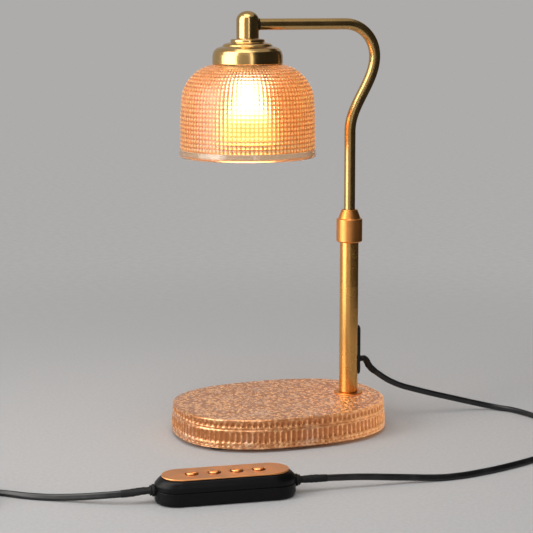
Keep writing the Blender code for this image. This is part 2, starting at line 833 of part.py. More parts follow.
def arm_tube():
    """Hollow tube carried along the swan-neck centreline, open at both ends."""
    points = arm_centreline()
    last = len(points) - 1
    radii = arm_radii(len(points))
    outer = []
    inner = []
    for index, point in enumerate(points):
        before = points[max(index - 1, 0)]
        after = points[min(index + 1, last)]
        ahead = (after[0] - before[0], after[1] - before[1])
        outer.append(ring_across(point, ahead, radii[index]))
        inner.append(ring_across(point, ahead, ARM_RADIUS - ARM_WALL))
    plain = [inner[0]] + inner[STEM_POINTS:]
    rings = outer + plain[::-1]
    lofted("arm_tube", rings, brass, closed=True, place=(POLE_OFFSET, 0.0, 0.0))


def guide_bush():
    """Plastic bush at the arm's lower end that runs in the lower tube."""
    foot = arm_bottom() + ARM_LIP_HEIGHT + SEAT_GAP
    outer = TUBE_RADIUS - TUBE_WALL - SEAT_GAP
    profile = ring_profile(ARM_RADIUS + SEAT_GAP, outer, foot, foot + GUIDE_HEIGHT)
    on_pole("guide_bush", profile, black_plastic)


def shade_axis():
    return POLE_OFFSET - ARM_REACH


def on_shade(name, profile, look, sides=ROUND_SIDES):
    """Turned piece on the shade's axis."""
    return turned(name, profile, look, sides=sides, place=(shade_axis(), 0.0, 0.0))


def head_knuckle():
    """Domed knuckle with a side hole for the arm, a hole for the nipple and one for the grub screw."""
    dome_base = knuckle_base() + KNUCKLE_HEIGHT * (1.0 - KNUCKLE_DOME_SHARE)
    dome = KNUCKLE_HEIGHT * KNUCKLE_DOME_SHARE
    profile = [(0.0, knuckle_base()), (KNUCKLE_RADIUS, knuckle_base())]
    for step in range(DOME_STEPS + 1):
        angle = math.pi / 2 * step / DOME_STEPS
        profile.append((KNUCKLE_RADIUS * math.cos(angle), dome_base + dome * math.sin(angle)))
    profile[-1] = (0.0, dome_base + dome)
    knuckle = on_shade("head_knuckle", profile, brass)
    bore = ARM_RADIUS + SEAT_GAP
    side_hole = disc_profile(bore, KNUCKLE_RADIUS - ARM_ENTRY - SEAT_GAP, KNUCKLE_RADIUS + OVERRUN)
    arm_guide = turned(
        "arm_hole_guide",
        side_hole,
        None,
        place=(shade_axis(), 0.0, arm_height()),
        turn=(0.0, math.pi / 2, 0.0),
    )
    combine(knuckle, [arm_guide])
    nipple_hole = disc_profile(NIPPLE_RADIUS + SEAT_GAP, knuckle_base() - OVERRUN, arm_height())
    combine(knuckle, [on_shade("nipple_hole_guide", nipple_hole, None)])
    grub_hole = disc_profile(GRUB_RADIUS + SEAT_GAP, knuckle_base() - OVERRUN, arm_height())
    grub_place = (shade_axis() + GRUB_OFFSET, 0.0, 0.0)
    combine(knuckle, [turned("grub_hole_guide", grub_hole, None, sides=SCREW_SIDES, place=grub_place)])


def grub_screw():
    """Screw from below that holds the arm's end in the knuckle."""
    tip = arm_height() - ARM_RADIUS - SEAT_GAP
    profile = disc_profile(GRUB_RADIUS, knuckle_base() + SEAT_GAP, tip)
    turned("grub_screw", profile, steel, sides=SCREW_SIDES, place=(shade_axis() + GRUB_OFFSET, 0.0, 0.0))


def cup_outline(sheet):
    """Outer side of the cup, or its inner side one sheet thickness in, from the hole to the rim."""
    top, first, second, rim = cup_levels()
    small, middle, large = (radius - sheet for radius in CUP_STEP_RADII)
    outline = [
        (NIPPLE_RADIUS + SEAT_GAP, top - sheet),
        (small, top - sheet),
        (small, first - sheet),
        (middle, first - sheet),
        (middle, second - sheet),
    ]
    for out, down in CUP_SHOULDER_SHARES:
        outline.append((middle + out * (large - middle), second - sheet - down * (second - rim)))
    outline.append((large, rim))
    return outline


def shade_cup():
    """Stepped cup spun from one sheet."""
    on_shade("shade_cup", cup_outline(0.0) + cup_outline(CUP_SHEET)[::-1], brass, sides=FINE_SIDES)


def nipple_and_nut():
    """Threaded tube from the knuckle to the lamp holder, and the round nut that holds the cup."""
    on_shade(
        "threaded_nipple", ring_profile(NIPPLE_BORE, NIPPLE_RADIUS, nipple_bottom(), nipple_top()), steel
    )
    high = cup_levels()[0] - CUP_SHEET - SEAT_GAP
    profile = ring_profile(NIPPLE_RADIUS + SEAT_GAP, NIPPLE_NUT_RADIUS, high - NIPPLE_NUT_HEIGHT, high)
    on_shade("nipple_nut", profile, steel)


def neck_top():
    """Height of the shade's upper face inside the cup."""
    return shade_rim() + SHADE_HEIGHT + SHADE_NECK_HEIGHT


def flange_bottom():
    return neck_top() + GASKET_THICKNESS + 2 * SEAT_GAP


def skirt_bottom():
    return flange_bottom() - HOLDER_SKIRT_HEIGHT


def tip_bottom():
    return skirt_bottom() - HOLDER_TIP_HEIGHT


def pin_guides(profile):
    """Guides at both pins of the bulb."""
    places = [(shade_axis(), side * BULB_PIN_SPACING / 2, 0.0) for side in (-1.0, 1.0)]
    return [turned("pin_guide", profile, None, sides=SCREW_SIDES, place=place) for place in places]


def lamp_holder():
    """Holder with a flange over the gasket, a threaded skirt and two holes for the bulb's pins."""
    flange_top = flange_bottom() + HOLDER_FLANGE_HEIGHT
    cap_top = holder_top()
    bore = NIPPLE_RADIUS + SEAT_GAP
    edge = NIPPLE_NUT_HEIGHT / 2
    profile = [
        (0.0, tip_bottom()),
        (HOLDER_TIP_RADIUS, tip_bottom()),
        (HOLDER_TIP_RADIUS, skirt_bottom()),
        (HOLDER_SKIRT_RADIUS, skirt_bottom()),
        (HOLDER_SKIRT_RADIUS, flange_bottom()),
        (HOLDER_FLANGE_RADIUS, flange_bottom()),
        (HOLDER_FLANGE_RADIUS, flange_top),
        (HOLDER_CAP_RADIUS, flange_top),
        (HOLDER_CAP_RADIUS, cap_top - edge),
        (HOLDER_CAP_RADIUS - edge, cap_top),
        (bore, cap_top),
        (bore, nipple_bottom() - SEAT_GAP),
        (0.0, nipple_bottom() - SEAT_GAP),
    ]
    holder = on_shade("lamp_holder", profile, black_plastic)
    hole = disc_profile(
        BULB_PIN_RADIUS + SEAT_GAP, tip_bottom() - OVERRUN, tip_bottom() + BULB_PIN_LENGTH + SEAT_GAP
    )
    combine(holder, pin_guides(hole))


def gasket_and_ring():
    """Gasket on the shade's flange, and the ring screwed on from inside the shade."""
    bore = HOLDER_SKIRT_RADIUS + SEAT_GAP
    low = neck_top() + SEAT_GAP
    on_shade("shade_gasket", ring_profile(bore, GASKET_RADIUS, low, low + GASKET_THICKNESS), rubber)
    high = neck_top() - SHADE_WALL - SEAT_GAP
    profile = ring_profile(bore, RING_RADIUS, high - RING_HEIGHT, high)
    on_shade("retaining_ring", profile, black_plastic)


def offset_inward(outline, distance):
    """Outline moved square to itself toward the axis."""
    points = np.array(outline)
    run = np.gradient(points, axis=0)
    run /= np.linalg.norm(run, axis=1)[:, None]
    inward = np.stack([run[:, 1], -run[:, 0]], axis=1)
    return [tuple(point) for point in points + distance * inward]


def glass_shade():
    """Pressed shade: flanged neck in the cup, domed shoulder, near-straight side and flared lip."""
    dome = [
        (radius * SHADE_RADIUS, shade_rim() + height * SHADE_HEIGHT)
        for radius, height in SHADE_OUTLINE_SHARES
    ]
    hole = HOLDER_SKIRT_RADIUS + SEAT_GAP
    top = neck_top()
    foot = shade_rim() + SHADE_HEIGHT
    neck = [
        (hole, top),
        (SHADE_NECK_RADIUS - SHADE_NECK_ROUND, top),
        (SHADE_NECK_RADIUS, top - SHADE_NECK_ROUND),
        (SHADE_NECK_RADIUS, foot),
    ]
    inside = offset_inward(dome, SHADE_WALL)
    inside[-1] = (inside[-1][0], shade_rim())
    under_neck = [(SHADE_NECK_RADIUS - SHADE_WALL, top - SHADE_WALL), (hole, top - SHADE_WALL)]
    profile = neck + dome + inside[::-1] + under_neck
    on_shade("glass_shade", profile, amber_glass, sides=FINE_SIDES)


def reflector_bulb():
    """Bulb with a front lens, flared reflector, cap and two pins."""
    top = tip_bottom() - SEAT_GAP
    base = top - BULB_LENGTH
    profile = [(radius * BULB_RADIUS, base + height * BULB_LENGTH) for radius, height in BULB_OUTLINE_SHARES]
    bulb = on_shade("reflector_bulb", profile, lambda name: finish(name, (0.9, 0.8, 0.6), 0.1))
    pin = disc_profile(BULB_PIN_RADIUS, top - OVERRUN, top + BULB_PIN_LENGTH)
    combine(bulb, pin_guides(pin), "UNION")


def seated_guides(profile, places, seat, sides=HOLE_SIDES):
    """Upright guides at several places on the controller."""
    return [turned("guide", profile, None, sides=sides, place=(x, y, 0.0), parent=seat) for x, y in places]


def grommet_guides(seat):
    """Guides for the holes in the end walls, where the grommets' barrels pass."""
    reach = CONTROLLER_LENGTH / 2
    profile = disc_profile(
        GROMMET_BARREL_RADIUS + SEAT_GAP, reach - 3 * CONTROLLER_WALL, reach + OVERRUN
    )
    place = (0.0, 0.0, GROMMET_HEIGHT)
    return [
        turned(
            "grommet_guide",
            profile,
            None,
            sides=SMALL_SIDES,
            place=place,
            turn=(0.0, side * math.pi / 2, 0.0),
            parent=seat,
        )
        for side in (-1.0, 1.0)
    ]


def pillar_places():
    x, y = PILLAR_PLACE
    return [(x, y), (-x, -y)]


def lower_housing(seat):
    """Tray with a rounded lower edge, two board posts and two screw pillars."""
    wall = CONTROLLER_WALL
    soft = CONTROLLER_BOTTOM_ROUND
    inner_length = CONTROLLER_LENGTH - 2 * wall
    inner_width = CONTROLLER_WIDTH - 2 * wall
    rings = []
    for step in range(BOTTOM_ROUND_STEPS + 1):
        angle = math.pi / 2 * step / BOTTOM_ROUND_STEPS
        inset = 2 * soft * (1.0 - math.sin(angle))
        height = soft * (1.0 - math.cos(angle))
        rings.append(stadium(CONTROLLER_LENGTH - inset, CONTROLLER_WIDTH - inset, height))
    rings.append(stadium(CONTROLLER_LENGTH, CONTROLLER_WIDTH, CONTROLLER_SPLIT))
    rings.append(stadium(inner_length, inner_width, CONTROLLER_SPLIT))
    rings.append(stadium(inner_length, inner_width, wall + soft / 2))
    rings.append(stadium(inner_length - soft, inner_width - soft, wall))
    tray = lofted("controller_lower_housing", rings, black_plastic, parent=seat)
    sunk = wall / 2
    post = disc_profile(POST_RADIUS, sunk, BOARD_BOTTOM - SEAT_GAP)
    posts = seated_guides(post, [(-POST_REACH, 0.0), (POST_REACH, 0.0)], seat)
    pillar = disc_profile(PILLAR_RADIUS, sunk, CONTROLLER_SPLIT)
    combine(tray, posts + seated_guides(pillar, pillar_places(), seat), "UNION")
    head = SCREW_HEAD_RADIUS + SEAT_GAP
    sink = SCREW_HEAD_SINK + SCREW_HEAD_HEIGHT + SEAT_GAP
    bore = SCREW_RADIUS + SEAT_GAP
    hole = [
        (0.0, -OVERRUN),
        (head, -OVERRUN),
        (head, sink),
        (bore, sink),
        (bore, CONTROLLER_SPLIT + OVERRUN),
        (0.0, CONTROLLER_SPLIT + OVERRUN),
    ]
    combine(tray, seated_guides(hole, pillar_places(), seat) + grommet_guides(seat))


def button_places():
    """Places of the buttons along the controller."""
    middle = (BUTTON_COUNT - 1) / 2
    return [((number - middle) * BUTTON_SPACING, 0.0) for number in range(BUTTON_COUNT)]


def upper_housing(seat):
    """Open-bottomed cover with a sloping shoulder, button holes and two screw pillars."""
    wall = CONTROLLER_WALL
    foot = CONTROLLER_SPLIT + SEAT_GAP
    shoulder = CONTROLLER_TOP - SHOULDER_DROP
    length, width = CONTROLLER_LENGTH, CONTROLLER_WIDTH
    narrow = 2 * SHOULDER_INSET
    eased = narrow * SHOULDER_EASE_SHARES[0]
    rings = [
        stadium(length - 2 * wall, width - 2 * wall, CONTROLLER_TOP - wall - SHOULDER_DROP / 2),
        stadium(length - 2 * wall, width - 2 * wall, foot),
        stadium(length, width, foot),
        stadium(length, width, shoulder),
        stadium(length - eased, width - eased, shoulder + SHOULDER_DROP * SHOULDER_EASE_SHARES[1]),
        stadium(length - narrow, width - narrow, CONTROLLER_TOP),
    ]
    rings.insert(0, stadium(length - 2 * wall - narrow, width - 2 * wall - narrow, CONTROLLER_TOP - wall))
    cover = lofted("controller_upper_housing", rings, black_plastic, parent=seat)
    pillar = disc_profile(PILLAR_RADIUS, foot, CONTROLLER_TOP - wall / 2)
    combine(cover, seated_guides(pillar, pillar_places(), seat), "UNION")
    bore = disc_profile(SCREW_RADIUS + SEAT_GAP, foot - OVERRUN, SCREW_TIP + SEAT_GAP)
    hole = disc_profile(BUTTON_RADIUS + SEAT_GAP, CONTROLLER_TOP - wall - OVERRUN, CONTROLLER_TOP + OVERRUN)
    holes = seated_guides(bore, pillar_places(), seat) + seated_guides(hole, button_places(), seat)
    combine(cover, holes + grommet_guides(seat))


def plate_top():
    return CONTROLLER_TOP + SEAT_GAP + PLATE_THICKNESS


def face_plate(seat):
    """Metal plate on the cover with a dished hole for each button."""
    low = CONTROLLER_TOP + SEAT_GAP
    length = CONTROLLER_LENGTH - 2 * PLATE_INSET
    width = CONTROLLER_WIDTH - 2 * PLATE_INSET
    rings = [stadium(length, width, low), stadium(length, width, plate_top())]
    plate = lofted("face_plate", rings, lambda name: finish(name, (0.8, 0.45, 0.3), 0.3, metallic=1.0))
    plate.parent = seat
    bore = BUTTON_RADIUS + SEAT_GAP
    dish = bore + BUTTON_DISH
    hole = [
        (0.0, low - OVERRUN),
        (bore, low - OVERRUN),
        (bore, low + PLATE_LAND),
        (dish, plate_top()),
        (dish, plate_top() + OVERRUN),
        (0.0, plate_top() + OVERRUN),
    ]
    combine(plate, seated_guides(hole, button_places(), seat, sides=SMALL_SIDES))


def button_flange_top():
    return CONTROLLER_TOP - CONTROLLER_WALL - SEAT_GAP


def buttons(seat):
    """Domed buttons held under the cover by their flanges."""
    flange_top = button_flange_top()
    edge = plate_top() + BUTTON_PROUD
    for number, (x, y) in enumerate(button_places(), start=1):
        profile = [
            (0.0, flange_top - BUTTON_FLANGE_HEIGHT),
            (BUTTON_RADIUS + BUTTON_FLANGE, flange_top - BUTTON_FLANGE_HEIGHT),
            (BUTTON_RADIUS + BUTTON_FLANGE, flange_top),
            (BUTTON_RADIUS, flange_top),
            (BUTTON_RADIUS, edge),
        ]
        for radius_share, crown_share in BUTTON_DOME_SHARES:
            profile.append((BUTTON_RADIUS * radius_share, edge + BUTTON_CROWN * crown_share))
        profile.append((0.0, edge + BUTTON_CROWN))
        look = lambda name: finish(name, (0.75, 0.42, 0.28), 0.25, metallic=1.0)
        turned(f"button_{number}", profile, look, sides=SMALL_SIDES, place=(x, y, 0.0), parent=seat)


def circuit_board(seat):
    """Board with one switch under each button."""
    top = BOARD_BOTTOM + BOARD_THICKNESS
    half_length, half_width = BOARD_LENGTH / 2, BOARD_WIDTH / 2
    corners = [(1, 1), (-1, 1), (-1, -1), (1, -1)]
    rings = [
        [(a * half_length, b * half_width, height) for a, b in corners] for height in (BOARD_BOTTOM, top)
    ]
    board = lofted("circuit_board", rings, lambda name: finish(name, (0.05, 0.2, 0.08), 0.5), parent=seat)
    plunger_top = button_flange_top() - BUTTON_FLANGE_HEIGHT - BUTTON_TRAVEL - SEAT_GAP
    body_top = top + SWITCH_BODY_HEIGHT
    profile = [
        (0.0, top - BOARD_THICKNESS / 2),
        (SWITCH_BODY_RADIUS, top - BOARD_THICKNESS / 2),
        (SWITCH_BODY_RADIUS, body_top),
        (SWITCH_PLUNGER_RADIUS, body_top),
        (SWITCH_PLUNGER_RADIUS, plunger_top),
        (0.0, plunger_top),
    ]
    combine(board, seated_guides(profile, button_places(), seat, sides=SWITCH_SIDES), "UNION")


def grommets(seat):
    """Flexible grommets whose barrels pass the end walls."""
    face = CONTROLLER_LENGTH / 2 + SEAT_GAP
    inside = CONTROLLER_LENGTH / 2 - 2 * CONTROLLER_WALL
    profile = [
        (0.0, inside - GROMMET_INNER_FLANGE),
        (GROMMET_FLANGE_RADIUS, inside - GROMMET_INNER_FLANGE),
        (GROMMET_FLANGE_RADIUS, inside),
        (GROMMET_BARREL_RADIUS, inside),
        (GROMMET_BARREL_RADIUS, face),
        (GROMMET_FLANGE_RADIUS, face),
        (GROMMET_FLANGE_RADIUS, face + GROMMET_FLANGE),
        (GROMMET_NECK_RADIUS, face + GROMMET_FLANGE),
        (GROMMET_NECK_RADIUS, face + GROMMET_FLANGE + GROMMET_NECK),
        (0.0, face + GROMMET_FLANGE + GROMMET_NECK),
    ]
    for name, side in (("grommet_lamp_side", 1.0), ("grommet_plug_side", -1.0)):
        turn = (0.0, side * math.pi / 2, 0.0)
        place = (0.0, 0.0, GROMMET_HEIGHT)
        turned(name, profile, rubber, sides=SMALL_SIDES, place=place, turn=turn, parent=seat)


def housing_screws(seat):
    """Two screws from below that hold the cover down."""
    low = SCREW_HEAD_SINK
    profile = [
        (0.0, low),
        (SCREW_HEAD_RADIUS, low),
        (SCREW_HEAD_RADIUS, low + SCREW_HEAD_HEIGHT),
        (SCREW_RADIUS, low + SCREW_HEAD_HEIGHT),
        (SCREW_RADIUS, SCREW_TIP),
        (0.0, SCREW_TIP),
    ]
    for number, (x, y) in enumerate(pillar_places(), start=1):
        turned(f"housing_screw_{number}", profile, steel, sides=SCREW_SIDES, place=(x, y, 0.0), parent=seat)


def controller():
    """Four-button controller that lies on the table in front of the base."""
    seat = empty_seat("controller_seat", CONTROLLER_PLACE, CONTROLLER_TURN)
    lower_housing(seat)
    upper_housing(seat)
    face_plate(seat)
    buttons(seat)
    circuit_board(seat)
    grommets(seat)
    housing_screws(seat)


def grommet_end(side):
    """Where the cord meets a grommet, and the way out of the controller there."""
    turn = math.radians(CONTROLLER_TURN)
    reach = side * (CONTROLLER_LENGTH / 2 + GROMMET_FLANGE + GROMMET_NECK + 2 * SEAT_GAP)
    place = np.array(CONTROLLER_PLACE) + reach * np.array([math.cos(turn), math.sin(turn), 0.0])
    place[2] = GROMMET_HEIGHT
    return place, side * np.array([math.cos(turn), math.sin(turn), 0.0])


def smooth_route(points):
    """Evenly stepped points on a smooth curve through the route, straight for one diameter at its ends."""
    places = np.array(points)
    chords = np.sqrt(np.linalg.norm(np.diff(places, axis=0), axis=1))
    times = np.concatenate([[0.0], np.cumsum(chords)])
    slopes = np.gradient(places, times, axis=0)
    slopes[0] = (places[1] - places[0]) / chords[0]
    slopes[1] = slopes[0]
    slopes[-1] = (places[-1] - places[-2]) / chords[-1]
    slopes[-2] = slopes[-1]
    dense = []
    for index, span in enumerate(chords):
        share = np.linspace(0.0, 1.0, ROUTE_SAMPLES, endpoint=False)[:, None]
        cubed, squared = share**3, share**2
        dense.append(
            (2 * cubed - 3 * squared + 1) * places[index]
            + (cubed - 2 * squared + share) * span * slopes[index]
            + (3 * squared - 2 * cubed) * places[index + 1]
            + (cubed - squared) * span * slopes[index + 1]
        )
    dense = np.concatenate(dense + [places[-1:]])
    travelled = np.concatenate([[0.0], np.cumsum(np.linalg.norm(np.diff(dense, axis=0), axis=1))])
    end = travelled[-1]
    count = round(end / (CORD_STEP_SHARE * CORD_DIAMETER))
    between = np.linspace(CORD_DIAMETER, end - CORD_DIAMETER, count)
    stations = np.concatenate([[0.0], between, [end]])
    even = np.stack([np.interp(stations, travelled, dense[:, axis]) for axis in range(3)], axis=1)
    even[:, 2] = np.maximum(even[:, 2], CORD_DIAMETER / 2)
    return even


def cord_tube(name, points, resolution):
    """Round tube along the points, with closed ends."""
    line = bpy.data.curves.new(name, "CURVE")
    line.dimensions = "3D"
    line.bevel_depth = CORD_DIAMETER / 2
    line.bevel_resolution = resolution
    line.use_fill_caps = True
    run = line.splines.new("POLY")
    run.points.add(len(points) - 1)
    for slot, point in zip(run.points, points):
        slot.co = (*point, 1.0)
    line.materials.append(rubber(name))
    made = bpy.data.objects.new(name, line)
    bpy.context.scene.collection.objects.link(made)
    length = float(np.sum(np.linalg.norm(np.diff(np.array(points), axis=0), axis=1)))
    print(f"{name}: {length:.3f} m long")


def lamp_cord():
    """Stretch from the column's strip to the controller."""
    start = np.array([POLE_OFFSET + TUBE_RADIUS + STRIP_PROUD + SEAT_GAP, 0.0, cord_exit_height()])
    end, way = grommet_end(1.0)
    route = [start, start + np.array([CORD_DIAMETER, 0.0, 0.0])]
    route += [np.array(point) for point in LAMP_ROUTE]
    route += [end + way * CORD_DIAMETER, end]
    cord_tube("cord_lamp_to_controller", smooth_route(route), 2)


def coil_way():
    heading = math.radians(COIL_HEADING)
    return np.array([math.cos(heading), math.sin(heading), 0.0])


def coil_start():
    return np.array([*COIL_START, CORD_DIAMETER / 2])


def supply_cord():
    """Stretch from the controller to the coil."""
    begin, way = grommet_end(-1.0)
    stop = coil_start() - coil_way() * (CORD_DIAMETER + SEAT_GAP)
    route = [begin, begin + way * CORD_DIAMETER]
    route += [np.array(point) for point in SUPPLY_ROUTE]
    route += [stop - coil_way() * CORD_DIAMETER, stop]
    cord_tube("cord_controller_to_coil", smooth_route(route), 2)


def coil_points():
    """Two layers of turns: in on the table, a climb over half a turn, out again, then the tail."""
    along = coil_way()
    left = np.array([-along[1], along[0], 0.0])
    start = coil_start()
    centre = start + left * COIL_RADIUS
    start_angle = math.atan2(*(start - centre)[1::-1])
    inner_radius = COIL_RADIUS - COIL_SPACING * COIL_TURNS
    total = 2 * COIL_TURNS + COIL_CLIMB_TURNS
    points = [start - along * CORD_DIAMETER]
    for step in range(round(total * COIL_POINTS) + 1):
        turn = step / COIL_POINTS
        climb = min(max((turn - COIL_TURNS) / COIL_CLIMB_TURNS, 0.0), 1.0)
        if turn < COIL_TURNS:
            radius = COIL_RADIUS - COIL_SPACING * turn
        elif climb < 1.0:
            radius = inner_radius - COIL_CLIMB_DIP * math.sin(math.pi * climb)
        else:
            radius = inner_radius + COIL_SPACING * (turn - COIL_TURNS - COIL_CLIMB_TURNS)
        angle = start_angle + math.tau * turn
        rise = COIL_SPACING * (1.0 - math.cos(math.pi * climb)) / 2
        spot = np.array([radius * math.cos(angle), radius * math.sin(angle), rise])
        points.append(centre + spot)
    top = points[-1]
    drop = top[2] - PLUG_HEIGHT / 2
    steps = round(TAIL_LENGTH / (2 * CORD_DIAMETER))
    for step in range(1, steps + 1):
        share = step / steps
        fall = np.array([0.0, 0.0, drop * (1.0 - math.cos(math.pi * share)) / 2])
        points.append(top + along * TAIL_LENGTH * share - fall)
    points.append(points[-1] + along * CORD_DIAMETER)
    return points


def cord_coil():
    """Coil of the remaining cord, with its tail to the plug."""
    points = coil_points()
    cord_tube("cord_coil", points, 1)
    return points[-1]


def plug_section(share, growth):
    """Section of the plug's body across its length."""
    half_width = PLUG_RELIEF_RADIUS + growth * (PLUG_WIDTH / 2 - PLUG_RELIEF_RADIUS)
    half_height = PLUG_RELIEF_RADIUS + growth * (PLUG_HEIGHT / 2 - PLUG_RELIEF_RADIUS)
    roundness = 2.0 + growth * (PLUG_ROUNDNESS - 2.0)
    angles = np.arange(PLUG_SIDES) * math.tau / PLUG_SIDES
    section = superellipse(half_width, half_height, roundness, angles)
    return [(share * PLUG_LENGTH, across, up) for across, up in section]


def blade_section(distance, width, thickness, side):
    """Upright rectangle across one blade."""
    middle = side * BLADE_SPACING / 2
    corners = [(1, 1), (-1, 1), (-1, -1), (1, -1)]
    return [(distance, middle + a * thickness / 2, b * width / 2) for a, b in corners]


def plug(cord_end):
    """Two-blade plug that lies on the table at the end of the cord."""
    place = cord_end + coil_way() * SEAT_GAP
    place[2] = PLUG_HEIGHT / 2
    seat = empty_seat("plug_seat", tuple(place), COIL_HEADING)
    rings = [plug_section(share, growth) for share, growth in PLUG_SECTION_SHARES]
    body = lofted("plug_body", rings, black_plastic, parent=seat)
    for number, side in enumerate((-1.0, 1.0), start=1):
        back = PLUG_LENGTH - BLADE_SEAT
        gap = 2 * SEAT_GAP
        slot = [
            blade_section(distance, BLADE_WIDTH + gap, BLADE_THICKNESS + gap, side)
            for distance in (back - SEAT_GAP, PLUG_LENGTH + OVERRUN)
        ]
        combine(body, [lofted("blade_slot_guide", slot, None, parent=seat)])
        tip = PLUG_LENGTH + BLADE_LENGTH
        blade = [
            blade_section(back, BLADE_WIDTH, BLADE_THICKNESS, side),
            blade_section(tip - BLADE_TIP, BLADE_WIDTH, BLADE_THICKNESS, side),
            blade_section(tip, BLADE_WIDTH - BLADE_TIP, BLADE_THICKNESS / 2, side),
        ]
        lofted(f"plug_blade_{number}", blade, steel, parent=seat)


def main():
    clear_scene()
    base_glass()
    feet()
    column_fixing()
    lower_tube()
    cord_exit_strip()
    top_bush()
    collet()
    lock_nut()
    guide_bush()
    arm_tube()
    head_knuckle()
    grub_screw()
    shade_cup()
    nipple_and_nut()
    lamp_holder()
    gasket_and_ring()
    glass_shade()
    reflector_bulb()
    controller()
    lamp_cord()
    supply_cord()
    plug(cord_coil())


main()
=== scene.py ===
"""Candle warmer lamp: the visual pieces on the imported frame, laid out as an add-on and run as a script."""

import math

import bpy
import numpy as np
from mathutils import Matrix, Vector


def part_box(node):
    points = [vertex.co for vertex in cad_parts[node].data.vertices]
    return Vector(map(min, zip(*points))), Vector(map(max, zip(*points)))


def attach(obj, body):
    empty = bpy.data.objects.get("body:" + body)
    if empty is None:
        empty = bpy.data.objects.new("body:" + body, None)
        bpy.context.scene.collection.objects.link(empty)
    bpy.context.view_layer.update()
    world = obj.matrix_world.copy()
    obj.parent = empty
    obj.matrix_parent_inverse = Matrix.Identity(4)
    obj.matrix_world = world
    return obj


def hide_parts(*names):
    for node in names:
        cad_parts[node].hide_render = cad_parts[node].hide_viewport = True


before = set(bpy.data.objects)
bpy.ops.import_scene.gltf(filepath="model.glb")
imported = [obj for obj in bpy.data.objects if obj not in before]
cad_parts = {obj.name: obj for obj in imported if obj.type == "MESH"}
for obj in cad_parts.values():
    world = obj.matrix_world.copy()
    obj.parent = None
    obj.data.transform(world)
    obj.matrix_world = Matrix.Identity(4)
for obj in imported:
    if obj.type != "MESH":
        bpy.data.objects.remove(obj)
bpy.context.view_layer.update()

bl_info = {
    "name": "Candle Warmer Lamp",
    "version": (1, 0, 0),
    "blender": (4, 5, 0),
    "location": "View3D > Sidebar > Warmer Lamp",
    "description": "Makes the lamp's glass, brass, controller and cord on its packed frame",
    "category": "Add Mesh",
}

TURN = 2.0 * np.pi


def span(node, axis):
    """Size of a CAD node along one axis."""
    low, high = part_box(node)
    return high[axis] - low[axis]


def box_of(node):
    """Low and high corner of a CAD node."""
    return np.array([list(corner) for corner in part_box(node)])


def amount_of(name, text, value, **more):
    return bpy.props.FloatProperty(name=name, description=text, default=value, **more)


def length_of(name, text, size):
    return amount_of(name, text, size, min=0.0, precision=4, unit="LENGTH")


def count_of(name, text, value):
    return bpy.props.IntProperty(name=name, description=text, default=value, min=3)


def colour_of(name, text, rgb):
    shared = {"name": name, "description": text, "default": rgb}
    return bpy.props.FloatVectorProperty(**shared, size=3, min=0.0, max=1.0, subtype="COLOR")


class GlassSettings(bpy.types.PropertyGroup):
    """Sizes and colours of the pressed glass."""

    shade_radius: length_of("Shade radius", "Outer radius of the shade's side", 0.0566)
    shade_height: length_of("Shade height", "From the rim to the foot of the neck", 0.077)
    shade_wall: length_of("Shade wall", "Thickness of the shade's glass", 0.0026)
    cell_columns: count_of("Cell columns", "Pressed cells round the shade", 100)
    cell_rows: count_of("Cell rows", "Pressed cells from the lip band up to the neck", 23)
    cell_depth: length_of("Cell depth", "How deep the grooves between the cells are", 0.0006)
    base_length: length_of("Base length", "Longer side of the base", span("base_glass", 0))
    base_width: length_of("Base width", "Shorter side of the base", span("base_glass", 1))
    base_height: length_of("Base height", "Thickness of the base", span("base_glass", 2))
    flute_count: count_of("Flutes", "Flutes round the base in each tier", 112)
    flute_depth: length_of("Flute depth", "How deep each flute is pressed", 0.0012)
    shade_colour: colour_of("Shade colour", "Amber of the shade's glass", (1.0, 0.52, 0.17))
    base_colour: colour_of("Base colour", "Copper rose of the base's glass", (1.0, 0.50, 0.23))
    glow_colour: colour_of("Glow colour", "Colour of the lit bulb", (1.0, 0.87, 0.86))
    glow: amount_of("Glow", "Strength of the lit bulb", 9.0, min=0.0)


class BrassSettings(bpy.types.PropertyGroup):
    """Sizes and colours of the column, the arm and the head."""

    tube_radius: length_of("Column radius", "Outer radius of the lower tube", 0.0081)
    tube_wall: length_of("Column wall", "Wall of the lower tube", 0.0013)
    arm_radius: length_of("Arm radius", "Outer radius of the arm tube", 0.0048)
    arm_wall: length_of("Arm wall", "Wall of the arm tube", 0.0011)
    knuckle_radius: length_of("Knuckle radius", "Radius of the knuckle above the cup", 0.00945)
    cup_radius: length_of("Cup radius", "Radius of the cup's lowest step", 0.0295)
    edge_round: length_of("Edge round", "Rounding of the turned edges", 0.0004)
    antique_colour: colour_of("Antique brass", "Colour of the arm and the head", (0.66, 0.42, 0.16))
    warm_colour: colour_of("Warm brass", "Colour of the column and the nut", (0.90, 0.46, 0.13))


class ControlSettings(bpy.types.PropertyGroup):
    """Sizes and colours of the controller and the plug."""

    length: length_of("Controller length", "Longest side of the controller", 0.107)
    width: length_of("Controller width", "Width of the controller", 0.034)
    height: length_of("Controller height", "From the table to the cover's top", 0.0192)
    turn: amount_of("Turn", "Turn of the controller on the table", math.radians(-6.8), subtype="ANGLE")
    button_radius: length_of("Button radius", "Radius of each domed button", 0.0043)
    black_colour: colour_of("Black", "Colour of the housings", (0.003, 0.003, 0.0032))
    copper_colour: colour_of("Copper", "Colour of the face plate and buttons", (0.95, 0.41, 0.15))


class CordSettings(bpy.types.PropertyGroup):
    """Section of the cord."""

    diameter: length_of("Diameter", "Thickness that the cord is measured by", 0.0044)
    across: length_of("Across", "Wider side of the twin section", 0.0052)
    through: length_of("Through", "Narrower side of the twin section", 0.0038)
    sides: count_of("Sides", "Points round the cord's section", 20)


